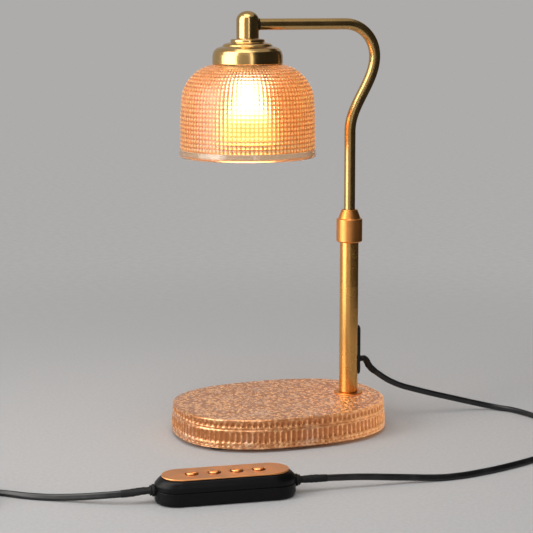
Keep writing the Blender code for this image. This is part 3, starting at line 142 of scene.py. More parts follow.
class StudioSettings(bpy.types.PropertyGroup):
    """Camera, lamps and background."""

    lens: amount_of("Lens", "Focal length in millimetres", 108.0, min=1.0)
    shift: amount_of("Shift", "Upright shift of the lens", -0.1)
    yaw: amount_of("Yaw", "Turn to the right", math.radians(20.41), subtype="ANGLE")
    pitch: amount_of("Pitch", "Tilt down", math.radians(7.68), subtype="ANGLE")
    paper_colour: colour_of("Paper", "Colour of the floor", (0.436, 0.431, 0.43))
    wall_colour: colour_of("Wall", "Colour of the backdrop", (0.42, 0.412, 0.407))
    key_power: amount_of("Key", "Power of the main soft lamp", 15.0, min=0.0)
    fill_power: amount_of("Fill", "Power of the overhead lamp", 14.0, min=0.0)
    room: amount_of("Room", "Strength of the room's light", 0.5, min=0.0)


# Shapes as grids of points.


def unit(vectors):
    return vectors / np.maximum(np.linalg.norm(vectors, axis=-1, keepdims=True), 1e-12)


def around(count):
    """Even angles once round."""
    return np.arange(count) / count * TURN


def ellipse(a, b, count):
    u = around(count)
    return np.stack([a * np.cos(u), b * np.sin(u)], axis=1)


def at_height(flat, height):
    """A flat grid's points (x, y) at their heights."""
    return np.concatenate([flat, np.broadcast_to(height, flat.shape[:-1])[..., None]], axis=-1)


def soften(corners, reach, steps=5):
    """Profile with rounded corners. A corner c becomes the curve (1-t)^2 a + 2t(1-t) c + t^2 b, where a and b lie
    `reach` away from c on its two sides, or 0.42 of a shorter side. One more point on each side keeps the flats flat.
    """
    points = np.asarray(corners, float)
    middle = points[1:-1, None]
    sides = np.stack([points[:-2] - points[1:-1], points[2:] - points[1:-1]])
    a, b = (unit(sides) * np.minimum(reach, 0.42 * np.linalg.norm(sides, axis=-1, keepdims=True)))[:, :, None]
    t = np.linspace(0.0, 1.0, steps)[None, :, None]
    curve = middle + (1.0 - t) ** 2 * a + t**2 * b
    held = np.concatenate([middle + 1.15 * a, curve, middle + 1.15 * b], axis=1)
    return np.concatenate([points[:1], held.reshape(-1, 2), points[-1:]])


def soft_ring(corners, reach, steps=5):
    """Closed profile with rounded corners; the last point joins the first."""
    return soften(corners + corners[:1], reach, steps)[:-1]


def smooth_line(points, count):
    """Curve through the points: a Catmull-Rom cubic between each pair, taken at `count` even shares of its length."""
    known = np.asarray(points, float)
    padded = np.concatenate([2.0 * known[:1] - known[1:2], known, 2.0 * known[-1:] - known[-2:-1]])
    t = np.linspace(0.0, 1.0, 24, endpoint=False)[None, :, None]
    p0, p1, p2, p3 = (padded[k : len(padded) - 3 + k][:, None] for k in range(4))
    curve = 0.5 * (2 * p1 + (p2 - p0) * t + (2 * p0 - 5 * p1 + 4 * p2 - p3) * t**2 + (3 * p1 - p0 - 3 * p2 + p3) * t**3)
    return even_steps(np.concatenate([curve.reshape(-1, known.shape[1]), known[-1:]]), count)


def steps_of(line):
    """Lengths of a line's stretches."""
    return np.linalg.norm(np.diff(line, axis=0), axis=-1)


def travel(stretches):
    """Distance travelled at each point."""
    return np.concatenate([[0.0], np.cumsum(stretches)])


def points_at(line, stations):
    """Points at distances along a line."""
    travelled = travel(steps_of(line))
    return np.stack([np.interp(stations, travelled, part) for part in line.T], axis=1)


def even_steps(line, count):
    """The line again with `count` points at even distances along it."""
    return points_at(line, np.linspace(0.0, travel(steps_of(line))[-1], count))


def revolve(profile, columns, centre=(0.0, 0.0), relief=0.0):
    """Surface of revolution P(i, u) = centre + (r cos u, r sin u, z) for profile rows (r, z). A relief moves each
    point along the profile's own normal."""
    u = around(columns)
    way = outward(profile)
    r = profile[:, :1] + relief * way[:, :1]
    flat = np.stack([centre[0] + r * np.cos(u), centre[1] + r * np.sin(u)], axis=-1)
    return at_height(flat, profile[:, 1:] + relief * way[:, 1:])


def outward(line):
    """Unit directions square to a profile, pointing away from the axis where the profile runs upward."""
    step = unit(np.gradient(line, axis=0))
    return np.stack([step[:, 1], -step[:, 0]], axis=1)


def oval(half_length, half_width, roundness, angles):
    """Superellipse |x/a|^n + |y/b|^n = 1, at x = a sgn(cos) |cos|^(2/n) and y = b sgn(sin) |sin|^(2/n)."""
    c, s = np.cos(angles), np.sin(angles)
    x = half_length * np.sign(c) * np.abs(c) ** (2.0 / roundness)
    y = half_width * np.sign(s) * np.abs(s) ** (2.0 / roundness)
    return np.stack([x, y], axis=-1)


def even_angles(half_length, half_width, roundness, count):
    """Angles at which points on the superellipse are evenly spaced along it."""
    dense = np.linspace(0.0, TURN, 8001)
    travelled = travel(steps_of(oval(half_length, half_width, roundness, dense)))
    return np.interp(np.arange(count) / count * travelled[-1], travelled, dense)


def slot_outline(length, width, columns):
    """Oblong with round ends: P(u) = (s, 0) + w/2 (cos a, sin a), evenly spaced, s the nearer end's centre."""
    arc = np.linspace(-np.pi / 2, np.pi / 2, 65)
    right = np.stack([(length - width) / 2.0 + width / 2.0 * np.cos(arc), width / 2.0 * np.sin(arc)], axis=1)
    return even_steps(np.concatenate([right, -right, right[:1]]), columns + 1)[:-1]


def carry(path, section, across, twist=0.0):
    """A section carried along a path: P(i, u) = c_i + a(u) n_i + b(u) m_i. t_i is the path's direction, n_i is square
    to t_i and to m_i, and m_i is `across` made square to t_i. twist turns the section about the path, row by row."""
    ahead = unit(np.gradient(path, axis=0))
    side = np.broadcast_to(np.asarray(across, float), path.shape)
    m = unit(side - (side * ahead).sum(axis=1)[:, None] * ahead)
    n = np.cross(m, ahead)
    c, s = (np.broadcast_to(part, len(path))[:, None] for part in (np.cos(twist), np.sin(twist)))
    m, n = c * m + s * n, c * n - s * m
    section = np.broadcast_to(section, (len(path),) + np.shape(section)[-2:])
    return path[:, None] + section[..., :1] * n[:, None] + section[..., 1:] * m[:, None]


def skin(name, points, body, look, closed=False, replaces=(), groove=None):
    """Mesh of a grid of points whose columns wrap round, anticlockwise seen from the rows' far end. A closed grid's
    last row joins its first; otherwise a fan to the middle of each end row closes it. The UV map is metres along the
    rows and turns round the columns. groove is an attribute for the look, a share at each point."""
    rows, columns = points.shape[:2]
    loops = rows if closed else rows - 1
    i = np.arange(loops)[:, None]
    j = np.arange(columns)[None, :]
    after, below = (j + 1) % columns, (i + 1) % rows
    quads = np.stack([i * columns + j, i * columns + after, below * columns + after, below * columns + j], axis=-1)
    along = travel(steps_of(points).mean(axis=1))
    along = np.append(along, along[-1])
    low, high = np.broadcast_arrays(along[:-1][:loops, None], along[1:][:loops, None])
    left, right = j / columns, (j + 1) / columns
    pairs = [(left, low), (right, low), (right, high), (left, high)]
    uv = np.stack([np.stack(np.broadcast_arrays(u, v), axis=-1) for u, v in pairs], axis=2).reshape(-1, 2)
    vertices = points.reshape(-1, 3)
    faces = quads.reshape(-1, 4).tolist()
    if not closed:
        vertices = np.concatenate([vertices, points[:1].mean(axis=1), points[-1:].mean(axis=1)])
        j, after = j.ravel(), after.ravel()
        middle = np.full(columns, rows * columns)
        last = (rows - 1) * columns
        faces += np.stack([after, j, middle], axis=1).tolist()
        faces += np.stack([last + j, last + after, middle + 1], axis=1).tolist()
        uv = np.concatenate([uv, np.zeros((6 * columns, 2))])
    mesh = bpy.data.meshes.new(name)
    mesh.from_pydata(vertices.tolist(), [], faces)
    mesh.polygons.foreach_set("use_smooth", np.ones(len(mesh.polygons), bool))
    mesh.uv_layers.new(name="Run").data.foreach_set("uv", uv.astype(np.float32).ravel())
    mesh.set_sharp_from_angle(angle=math.radians(50.0))
    if groove is not None:
        shares = np.zeros(len(vertices), np.float32)
        shares[: groove.size] = groove.ravel()
        mesh.attributes.new("Groove", "FLOAT", "POINT").data.foreach_set("value", shares)
    mesh.update()
    mesh.materials.append(look)
    piece = put(name, mesh)
    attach(piece, body)
    if replaces:
        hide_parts(*replaces)
    return piece


def put(name, data):
    """Object that holds the data, in the scene."""
    thing = bpy.data.objects.new(name, data)
    bpy.context.scene.collection.objects.link(thing)
    return thing


def settings(name):
    return getattr(bpy.context.scene, "lamp_" + name)


# Finishes.


def add_node(tree, kind, inputs, **own):
    """Adds a node, sets its own settings and fills its inputs with values or other nodes' outputs."""
    node = tree.nodes.new(kind)
    for key, value in own.items():
        setattr(node, key, value)
    for key, value in inputs.items():
        if isinstance(value, bpy.types.NodeSocket):
            tree.links.new(value, node.inputs[key])
        else:
            node.inputs[key].default_value = value
    return node


class Look:
    """A material built on one Principled shader, with its constant values on the shader's own sockets."""

    def __init__(self, name, colour, roughness, metallic=0.0, **sockets):
        self.made = bpy.data.materials.new(name)
        self.made.use_nodes = True
        self.tree = self.made.node_tree
        self.shader = self.tree.nodes["Principled BSDF"]
        constants = {"Base_Color": (*colour, 1.0), "Roughness": roughness, "Metallic": metallic, **sockets}
        for socket, value in constants.items():
            self.shader.inputs[socket.replace("_", " ")].default_value = value
        self.places = self.tree.nodes.new("ShaderNodeTexCoord")

    def node(self, kind, inputs, **own):
        return add_node(self.tree, kind, inputs, **own)

    def noise(self, scale, detail=3.0, stretch=None, source="Object", roughness=0.5):
        """Noise. A stretch scales each axis: a larger number makes the pattern finer that way."""
        vector = self.places.outputs[source]
        if stretch is not None:
            vector = self.node("ShaderNodeMapping", {"Vector": vector, "Scale": stretch}).outputs[0]
        inputs = {"Vector": vector, "Scale": scale, "Detail": detail, "Roughness": roughness}
        return self.node("ShaderNodeTexNoise", inputs).outputs["Fac"]

    def cells(self, scale, feature="F1", **inputs):
        inputs.update(Vector=self.places.outputs["Object"], Scale=scale)
        return self.node("ShaderNodeTexVoronoi", inputs, feature=feature).outputs["Distance"]

    def along(self, axis):
        """Place along one of the object's axes."""
        return self.node("ShaderNodeSeparateXYZ", {0: self.places.outputs["Object"]}).outputs[axis]

    def band(self, value, start, end, low=0.0, high=1.0):
        """Maps start..end to low..high in a smooth step."""
        inputs = {"Value": value, "From Min": start, "From Max": end, "To Min": low, "To Max": high}
        return self.node("ShaderNodeMapRange", inputs, interpolation_type="SMOOTHSTEP").outputs[0]

    def maths(self, operation, a, b):
        return self.node("ShaderNodeMath", {0: a, 1: b}, operation=operation).outputs[0]

    def times(self, a, b):
        return self.maths("MULTIPLY", a, b)

    def groove(self):
        """Share of a groove at each point of the surface, which the mesh carries as an attribute."""
        return self.node("ShaderNodeAttribute", {}, attribute_name="Groove").outputs["Fac"]

    def blend(self, factor, first, second):
        """Mix of two colours."""
        first, second = ((*c, 1.0) if isinstance(c, tuple) and len(c) == 3 else c for c in (first, second))
        return self.node("ShaderNodeMix", {0: factor, 6: first, 7: second}, data_type="RGBA").outputs[2]

    def drive(self, socket, value):
        self.tree.links.new(value, self.shader.inputs[socket])
        return self

    def bump(self, height, distance, strength=1.0):
        """Adds a bump, on top of one that is there already."""
        inputs = {"Height": height, "Distance": distance, "Strength": strength}
        before = self.shader.inputs["Normal"]
        if before.is_linked:
            inputs["Normal"] = before.links[0].from_socket
        return self.drive("Normal", self.node("ShaderNodeBump", inputs).outputs[0])


def tinted(colour, times):
    return tuple(min(1.0, part * times) for part in colour[:3])


def worn(name, colour, roughness, noises, tones, gloss, relief, metallic=0.0, **sockets):
    """Look with marks: its tone, its gloss and its fine relief each follow a noise of (scale, detail)."""
    look = Look(name, colour, roughness, metallic, **sockets)
    tone, wear, grain = (look.noise(*noise) for noise in noises)
    look.drive("Base Color", look.blend(tone, *(tinted(colour, share) for share in tones)))
    look.drive("Roughness", look.band(wear, 0.3, 0.7, *(roughness * share for share in gloss)))
    return look.bump(grain, *relief).made


def brushed_brass(name, colour, stretch, roughness=0.24, grain=0.00002, source="Object", gloss=(0.92, 1.15), press=0.6):
    """Satin brass: fine brush lines, a slow change of tone and a little dulling in patches."""
    look = Look(name, colour, roughness, 1.0)
    lines = look.noise(1.0, 2.0, stretch, source)
    tone = look.blend(look.band(look.noise(24.0), 0.35, 0.7), tinted(colour, 0.92), tinted(colour, 1.06))
    look.drive("Base Color", look.blend(look.band(lines, 0.3, 0.7, 0.0, 0.16), tone, tinted(colour, 0.7)))
    dulled = (roughness * share for share in gloss)
    look.drive("Roughness", look.band(look.noise(60.0, 4.0), 0.35, 0.75, *dulled))
    return look.bump(lines, grain, press).made


def plastic(name, colour, roughness=0.42, grain=0.00003):
    """Moulded plastic: a fine spark-eroded grain and faint changes of gloss."""
    noises = (90.0, 4.0), (260.0, 3.0), (2600.0, 2.0)
    return worn(name, colour, roughness, noises, (0.8, 1.3), (0.85, 1.2), (grain, 0.5), Specular_IOR_Level=0.15)


def smooth_copper(name, colour, roughness):
    """Polished copper: slow changes of gloss where fingers touch."""
    return worn(name, colour, roughness, [(180.0, 3.0)] * 3, (0.9, 1.08), (0.85, 1.3), (0.00001, 0.3), 1.0)


def copper(name, colour, roughness=0.3):
    """Satin copper: a fine straight grain along the plate and faint handling marks."""
    look = Look(name, colour, roughness, 1.0)
    grain = look.noise(1.0, 2.0, (260.0, 2600.0, 2600.0))
    marks = look.noise(70.0, 5.0)
    tone = look.blend(look.band(marks, 0.35, 0.7), tinted(colour, 0.92), tinted(colour, 1.05))
    look.drive("Base Color", look.blend(look.band(grain, 0.3, 0.7, 0.0, 0.25), tone, tinted(colour, 0.75)))
    look.drive("Roughness", look.band(marks, 0.3, 0.75, roughness * 0.9, roughness * 1.2))
    return look.bump(grain, 0.00001, 0.5).made


def plain_metal(name, colour, roughness=0.3):
    """Plated steel: faint tumbling marks."""
    return worn(name, colour, roughness, [(600.0, 4.0)] * 3, (0.75, 1.15), (0.8, 1.3), (0.00001, 0.4), 1.0)


# Glass.

SHADE_OUTLINE = (  # share of the radius, share of the height, from the cup down to the rim
    (0.521, 1.0), (0.692, 0.953), (0.802, 0.892), (0.893, 0.813), (0.949, 0.734), (0.979, 0.644), (0.99, 0.531),
    (0.998, 0.372), (1.0, 0.101), (1.014, 0.036), (1.002, 0.004),
)
NECK_RADIUS = 0.0279
LIP_BAND = 0.0068  # height of the plain band above the rim
CELL_STEPS = 5  # mesh steps across a cell
FLUTE_STEPS = 5  # mesh steps across a flute
BASE_ROUNDNESS = 2.4
BASE_TIERS = (  # share of the height where each tier starts and ends, its width's share, its depth's share
    (0.085, 0.16, 0.62, 0.7),
    (0.205, 0.615, 1.0, 1.0),
    (0.715, 0.945, 1.0, 0.9),
)
WASHER_SEAT = (0.01315, 0.0006)  # radius and depth of the recess for the trim washer
POLE = (0.065, 0.0)
HEAD = (-0.028, 0.0)


def shade_glass(name, colour):
    """Amber pressed glass: paler on the crowns of the cells and a darker amber in the grooves, painted light and shade
    across each cell; smoother on the plain lip; a painted glow in its emission, strongest on the crowns, for the bulb's
    light in the glass; and fine waves that the press leaves."""
    look = Look(name, colour, 0.12, IOR=1.5, Transmission_Weight=0.9, Specular_IOR_Level=0.35, Coat_Weight=0.2,
                Coat_Roughness=0.05)
    groove = look.groove()
    plain = look.band(groove, -0.6, -0.1, 1.0, 0.0)
    # Paler crown colour, with a random change of tone: painted light on the crowns of the cells.
    crown = look.blend(look.band(look.noise(30.0), 0.3, 0.7), (1.0, 0.70, 0.30), (1.0, 0.78, 0.42))
    # The darker amber towards the grooves is painted shade.
    pressed = look.blend(look.band(groove, 0.1, 0.8), crown, (0.74, 0.25, 0.06))
    look.drive("Base Color", look.blend(plain, pressed, (1.0, 0.72, 0.48)))
    waves = look.band(look.noise(220.0), 0.3, 0.7, 0.22, 0.34)
    look.drive("Roughness", look.maths("SUBTRACT", waves, look.times(plain, 0.1)))
    # Emission colour of the painted glow, a deeper orange in the grooves.
    look.drive("Emission Color", look.blend(look.band(groove, 0.2, 0.8), tinted(colour, 1.0), (0.9, 0.26, 0.05)))
    # Painted glow: brightest on the crowns, faint in the grooves, none on the plain lip and the inner wall.
    lit = look.times(look.band(groove, -0.5, 0.0), look.band(groove, 0.1, 0.9, 0.33, 0.08))
    look.drive("Emission Strength", lit)
    return look.bump(look.noise(420.0), 0.00006, 0.5).made


def make_shade():
    """Shade: the outline is a smooth curve turned about the shade's axis. Its outer side is pressed into cells, with
    r = r0 - d (1 - (1 - s^2)(1 - t^2)), s and t running from -1 to 1 across each cell. They fade out at the neck, and
    the lip band is plain."""
    glass = settings("glass")
    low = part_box("glass_shade")[0][2]
    outline = np.asarray(SHADE_OUTLINE) * (glass.shade_radius, glass.shade_height) + (0.0, low)
    side = smooth_line(outline, 900)[::-1]
    neck_top = low + glass.shade_height + 0.0056
    first = np.searchsorted(side[:, 1], low + LIP_BAND)
    columns, rows = CELL_STEPS * glass.cell_columns, CELL_STEPS * glass.cell_rows
    cells = even_steps(side[first:-12], rows + 1)
    lip = even_steps(side[: first + 1], 11)[:-1]
    s, t = (np.abs(2.0 * (np.arange(count) % CELL_STEPS) / CELL_STEPS - 1.0) for count in (columns, rows + 1))
    press = -glass.cell_depth * (1.0 - (1.0 - s**2) * (1.0 - t[:, None] ** 2))
    above = cells[:, :1] - NECK_RADIUS
    fade = np.clip(above / 0.006, 0.0, 1.0) * np.clip(above / 0.02, 0.35, 1.0)
    inner_neck = NECK_RADIUS - glass.shade_wall
    neck = soften([(0.0294, side[-12][1] + 0.0002), (NECK_RADIUS, neck_top - 0.0046), (NECK_RADIUS, neck_top),
                   (inner_neck, neck_top), (inner_neck, neck_top - 0.006)], 0.0007, 3)
    inward = side - glass.shade_wall * outward(side)
    inner = even_steps(inward[10:-30][::-1], 22)
    rim = soften([inner[-1], (inner[-1][0] + 0.0002, low + 0.0006), (side[0][0] - 0.0006, low), lip[0]], 0.0008)[1:-1]
    profile = np.concatenate([lip, cells, neck, inner, rim])
    relief, groove = np.zeros((len(profile), columns)), np.full((len(profile), columns), -1.0)
    pressed = slice(len(lip), len(lip) + len(cells))
    relief[pressed] = press * fade
    groove[pressed] = -press / glass.cell_depth
    points = revolve(profile, columns, HEAD, relief)
    skin("shade_glass", points, "arm", shade_glass("Amber shade glass", glass.shade_colour), True,
         ["glass_shade"], groove)


def base_look(name, colour):
    """Copper rose pressed glass with a thin lustre. Painted shade darkens the hollows of the flutes and the edges of
    the small facets on top, and pale rosy patches are painted reflection. Painted glints and a painted glow in its
    emission stand for the shade's light: more glow in the side towards the column's end and on the crowns of the
    flutes, and a little on the top's facets. The groove attribute is below zero on the hammered top."""
    # The emission colour is that of the painted glow and glints below.
    look = Look(name, colour, 0.1, 0.42, IOR=1.5, Transmission_Weight=0.35, Specular_IOR_Level=0.4, Coat_Weight=0.25,
                Coat_Roughness=0.03, Emission_Color=(1.0, 0.5, 0.2, 1.0))
    groove = look.groove()
    top = look.band(groove, -0.6, -0.2, 1.0, 0.0)
    facets = look.cells(300.0, "SMOOTH_F1", Smoothness=0.25)
    fine = look.noise(620.0)
    # deep is the colour of painted shade, for the flute hollows and the facets' edges; pale is painted reflection.
    deep, pale = (0.5, 0.17, 0.045), (1.0, 0.72, 0.52)
    # Pale rosy patches: painted reflection.
    patches = look.band(look.noise(48.0, 5.0, roughness=0.65), 0.5, 0.75, 0.0, 0.6)
    # Facet edges darkened towards deep: painted shade between the facets.
    face = look.blend(patches, look.blend(look.band(facets, 0.25, 0.65, 0.0, 0.8), tinted(colour, 1.08), deep), pale)
    # Flute hollows darkened towards deep: painted shade.
    look.drive("Base Color", look.blend(look.band(groove, 0.25, 0.9, 0.0, 0.9), face, deep))
    # Painted glints: small bright spots of emission on the top and the flats.
    painted_glint_spots = look.band(look.cells(330.0), 0.1, 0.24, 1.0, 0.0)
    caught = look.times(painted_glint_spots, look.band(groove, -0.1, 0.3, 1.0, 0.0))
    # Painted glow in the side, stronger towards the column's end and on the crowns of the flutes.
    side = look.times(look.band(look.along("X"), 0.0, 0.085, 0.02, 0.36), look.band(groove, 0.2, 0.9, 1.0, 0.35))
    # Faint painted glow on the top's facets.
    above = look.times(top, look.band(facets, 0.2, 0.65, 0.15, 0.01))
    inside = look.maths("ADD", look.times(side, look.maths("SUBTRACT", 1.0, top)), above)
    # All of the emission is painted light: glints, the side's glow and the top's glow.
    look.drive("Emission Strength", look.maths("ADD", look.times(caught, 0.6), inside))
    look.drive("Roughness", look.band(fine, 0.35, 0.7, 0.03, 0.12))
    look.bump(look.times(facets, top), 0.0013)
    return look.bump(fine, 0.00012, 0.5).made


def hammered(x, y):
    """Depth of the hammered top: d (0.5 + 0.5 cos(k a) cos(k b))^1.5, with a and b the place turned and bent by slow
    sines, so that the dimples never line up."""
    k = TURN / 0.0052
    a = 0.83 * x + 0.56 * y + 0.0011 * np.sin(230.0 * y + 1.0) + 0.0008 * np.sin(410.0 * x)
    b = -0.47 * x + 0.88 * y + 0.0012 * np.sin(260.0 * x + 2.0) + 0.0007 * np.sin(370.0 * y)
    return 0.00042 * (0.5 + 0.5 * np.cos(k * a) * np.cos(k * b)) ** 1.5


def quarter_round(q):
    """1 - sqrt(1 - q^2), with q held between 0 and 1."""
    return 1.0 - np.sqrt(1.0 - np.clip(q, 0.0, 1.0) ** 2)


def make_base():
    """Base: superellipse outlines stacked on a rounded profile. The side is drawn in by flutes,
    d max(0, 1 - s^2 - e^2), s running across each flute and e the distance past its straight part in half widths,
    so that every flute ends in an arch. The top runs in rings from the edge to the washer's seat."""
    glass = settings("glass")
    low, high = box_of("base_glass")[:, 2]
    a, b, height = glass.base_length / 2, glass.base_width / 2, high - low
    columns = FLUTE_STEPS * glass.flute_count
    edge = oval(a, b, BASE_ROUNDNESS, even_angles(a, b, BASE_ROUNDNESS, columns))
    half = steps_of(edge[:2])[0] * FLUTE_STEPS / 2.0 / height
    straight = np.linspace(0.09, 0.96, 50)
    share = np.concatenate([[0.0, 0.012, 0.035, 0.06, 0.08], straight, [0.97, 0.98, 0.99, 0.996, 1.0]])

    inset = 0.0019 * quarter_round(1.0 - share / 0.06) + 0.0011 * quarter_round((share - 0.955) / 0.045)
    inset += 0.0004 * np.exp(-(((share - 0.065) / 0.014) ** 2)) + 0.0009 * np.exp(-(((share - 0.665) / 0.03) ** 2))
    inset += 0.0012 * share
    across = (np.arange(columns) % FLUTE_STEPS) / FLUTE_STEPS * 2.0 - 1.0
    flutes = np.zeros((len(share), columns))
    for start, end, wide, deep in BASE_TIERS:
        reach = min(half * wide, (end - start) / 2)
        past = np.maximum(0.0, np.abs(share - (start + end) / 2) - ((end - start) / 2 - reach)) / reach
        round_end = np.clip(1.0 - (across[None] / wide) ** 2 - past[:, None] ** 2, 0.0, 1.0)
        flutes += deep * glass.flute_depth * round_end**0.7
    out = outward(np.concatenate([edge[-1:], edge, edge[:1]]))[1:-1]
    side = at_height(edge - (inset[:, None] + flutes)[..., None] * out, (low + share * height)[:, None])
    rim, start = side[-1, :, :2], np.array(POLE)
    turn = np.unwrap(np.arctan2(rim[:, 1] - start[1], rim[:, 0] - start[0]))
    hole = np.stack([np.cos(turn), np.sin(turn)], axis=-1)
    seat, depth = WASHER_SEAT
    way = (np.linspace(0.0, 1.0, 79)[1:] ** 0.85)[:, None, None]
    top = rim * (1.0 - way) + (start + (seat + 0.0004) * hole) * way
    calm = np.clip(np.minimum(way[..., 0], 1.0 - way[..., 0]) / 0.04, 0.0, 1.0)
    top = at_height(top, high - calm * hammered(top[..., 0], top[..., 1]))
    wall = soften([(seat + 0.0004, high), (seat, high - 0.0002), (seat, high - depth), (0.0035, high - depth),
                   (0.0035, low + 0.009), (0.011, low + 0.009), (0.011, low), (0.0125, low)], 0.0002, 2)[1:]
    bored = at_height(start + wall[:, None, :1] * hole, wall[:, 1:])
    back = np.linspace(0.0, 1.0, 7)[1:-1, None, None]
    under = at_height(bored[-1, :, :2] * (1.0 - back) + side[0, :, :2] * back, low)
    points = np.concatenate([side, top, bored, under])
    groove = np.zeros(points.shape[:2])
    groove[len(side) : len(side) + len(top)] = -1.0
    groove[: len(side)] = flutes / glass.flute_depth
    skin("base_pressed_glass", points, "column", base_look("Copper rose base glass", glass.base_colour), True,
         ["base_glass"], groove)


def make_feet():
    """Feet: a rounded pad turned about each foot's own axis."""
    rubber = plastic("Black foot rubber", (0.018, 0.017, 0.016), 0.7, 0.00006)
    for number in range(1, 5):
        node = f"foot_pad_{number}"
        low, high = box_of(node)
        middle, radius = (low + high) / 2, (high[0] - low[0]) / 2
        corners = [(0.0004, low[2]), (radius - 0.0006, low[2]), (radius, high[2] - 0.0004), (radius - 0.0004, high[2]),
                   (0.0004, high[2])]
        points = revolve(soften(corners, 0.0004), 40, middle[:2])
        skin(f"foot_{number}", points, "column", rubber, replaces=[node])


# Brass.


def turned_piece(name, corners, body, look, node, reach=None):
    """Brass piece turned about the column's axis from a closed profile of rounded corners."""
    ring = soft_ring(corners, reach or settings("brass").edge_round)
    skin(name, revolve(ring, 128, POLE), body, look, True, [node])


def make_column():
    """Column: turned tube, trim washer and lock nut, and the strip that covers the cord's slot."""
    brass = settings("brass")
    warm = brushed_brass("Warm brushed brass", brass.warm_colour, (1200.0, 1200.0, 30.0), 0.26, 0.0000012)
    turned = brushed_brass("Warm turned brass", (0.9, 0.37, 0.1), (30.0, 30.0, 1500.0), 0.36, 0.00001)
    low, high = box_of("lower_tube")[:, 2]
    outer, inner = brass.tube_radius, brass.tube_radius - brass.tube_wall
    tube = [(inner, high), (inner, low), (outer, low), (outer, high)]
    turned_piece("column_tube", tube, "column", warm, "lower_tube")
    low, high = box_of("trim_washer")[:, 2]
    washer = [(0.0033, high), (0.0033, low), (0.01255, low), (0.01255, high - 0.0003), (0.0116, high)]
    turned_piece("foot_washer", washer, "column", turned, "trim_washer", 0.0003)
    low, high = box_of("lock_nut")[:, 2]
    step, bore, skirt = high - 0.0079, brass.arm_radius + 0.0003, outer + 0.0003
    nut = [(bore, high), (bore, step + 0.0035), (0.0079, step + 0.001), (0.0079, high - 0.0162), (skirt, high - 0.0162),
           (skirt, low), (0.0102, low), (0.0112, low + 0.0009), (0.0112, step - 0.0004), (0.01075, step),
           (0.0098, step + 0.0001), (0.0095, step + 0.0007), (0.0068, high)]
    turned_piece("lock_nut_turned", nut, "nut", turned, "lock_nut", 0.00025)
    make_strip()


def make_strip():
    """Strip: oblongs with round ends, P(u) at each distance from the pole, drawn in at the front edge."""
    low, high = box_of("cord_exit_strip")
    length, width, back, front = high[2] - low[2], high[1] - low[1], low[0], high[0]
    inset = np.array([0.0, 0.0, 0.0002, 0.0006, 0.0011])
    depth = np.array([back, front - 0.0011, front - 0.0004, front - 0.0001, front])
    rings = np.stack([slot_outline(length - 2 * i, width - 2 * i, 96) for i in inset])
    middle = (low[2] + high[2]) / 2
    points = np.stack([np.broadcast_to(depth[:, None], rings.shape[:2]), rings[..., 1], middle - rings[..., 0]], -1)
    skin("cord_exit_cover", points, "column", plastic("Black strip plastic", (0.014, 0.014, 0.015), 0.36),
         replaces=["cord_exit_strip"])


def arm_line():
    """The arm's centreline: upright, then x = bulge (1 - cos(pi q)) / 2 over the swell, then a quarter circle, then
    level to the knuckle."""
    bulge, bend = 0.0225, 0.0275
    (end, _, foot), (_, _, top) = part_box("arm_tube")
    level = top - settings("brass").arm_radius
    swell, arc = level - 0.0913, level - bend
    q = np.linspace(0.0, 1.0, 60)
    upright = np.stack([np.zeros(30), np.linspace(foot, swell, 30, endpoint=False)], axis=1)
    neck = np.stack([bulge * (1.0 - np.cos(np.pi * q)) / 2, swell + q * (arc - swell)], axis=1)[:-1]
    angle = q * np.pi / 2
    turn = np.stack([bulge - bend * (1.0 - np.cos(angle)), arc + bend * np.sin(angle)], axis=1)
    run = np.stack([np.linspace(bulge - bend, end - POLE[0], 30)[1:], np.full(29, level)], axis=1)
    line = even_steps(np.concatenate([upright, neck, turn, run]), 260)
    return np.stack([POLE[0] + line[:, 0], np.zeros(len(line)), line[:, 1]], axis=1)


def make_arm():
    """Arm: circles carried along the centreline, outer wall up and inner wall back, joined by rounded rims."""
    brass = settings("brass")
    look = brushed_brass("Antique brushed brass", brass.antique_colour, (60.0, 30.0, 1.0), 0.25, 0.000003, "UV",
                         (0.88, 1.12), 0.5)
    line, ring, across = arm_line(), ellipse(1.0, 1.0, 56), (0.0, 1.0, 0.0)
    radius = np.full(len(line), brass.arm_radius)
    radius[[0, -1]] -= 0.0003
    outer = carry(line, ring * radius[:, None, None], across)
    inner = carry(line, ring * (brass.arm_radius - brass.arm_wall), across)[::-1]
    skin("arm_swan_neck", np.concatenate([outer, inner]), "arm", look, True, ["arm_tube"])


def make_head():
    """Head: the knuckle's domed profile and the cup's three steps, each turned about the shade's axis."""
    brass = settings("brass")
    satin = brushed_brass("Antique turned brass", brass.antique_colour, (24.0, 24.0, 2600.0), 0.2, 0.000004)
    low, high = box_of("head_knuckle")[:, 2]
    radius, spring = brass.knuckle_radius, high - 0.0078
    angle = np.linspace(0.0, np.pi / 2, 20)[:-1]
    dome = np.stack([radius * np.cos(angle), spring + (high - spring) * np.sin(angle)], axis=1)
    foot = soften([(0.0004, low), (radius, low), (radius, spring)], brass.edge_round)
    profile = np.concatenate([foot[:-1], [(radius, spring - 0.002)], dome, [(0.0002, high)]])
    skin("knuckle", revolve(profile, 96, HEAD), "arm", satin, False, ["head_knuckle"])
    collar = np.array([(-0.003, 0.00485), (-0.003, 0.0055), (0.0, 0.0056), (0.0005, 0.0053), (0.0005, 0.00485)])
    u, level = around(56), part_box("arm_tube")[1][2] - brass.arm_radius
    x = np.broadcast_to(HEAD[0] + radius - 0.0002 + collar[:, :1], (5, 56))
    points = np.stack([x, collar[:, 1:] * np.cos(u), level + collar[:, 1:] * np.sin(u)], axis=-1)
    skin("arm_joint_line", points, "arm", plastic("Dark joint line", (0.02, 0.014, 0.008), 0.6), True)
    make_cup(satin)


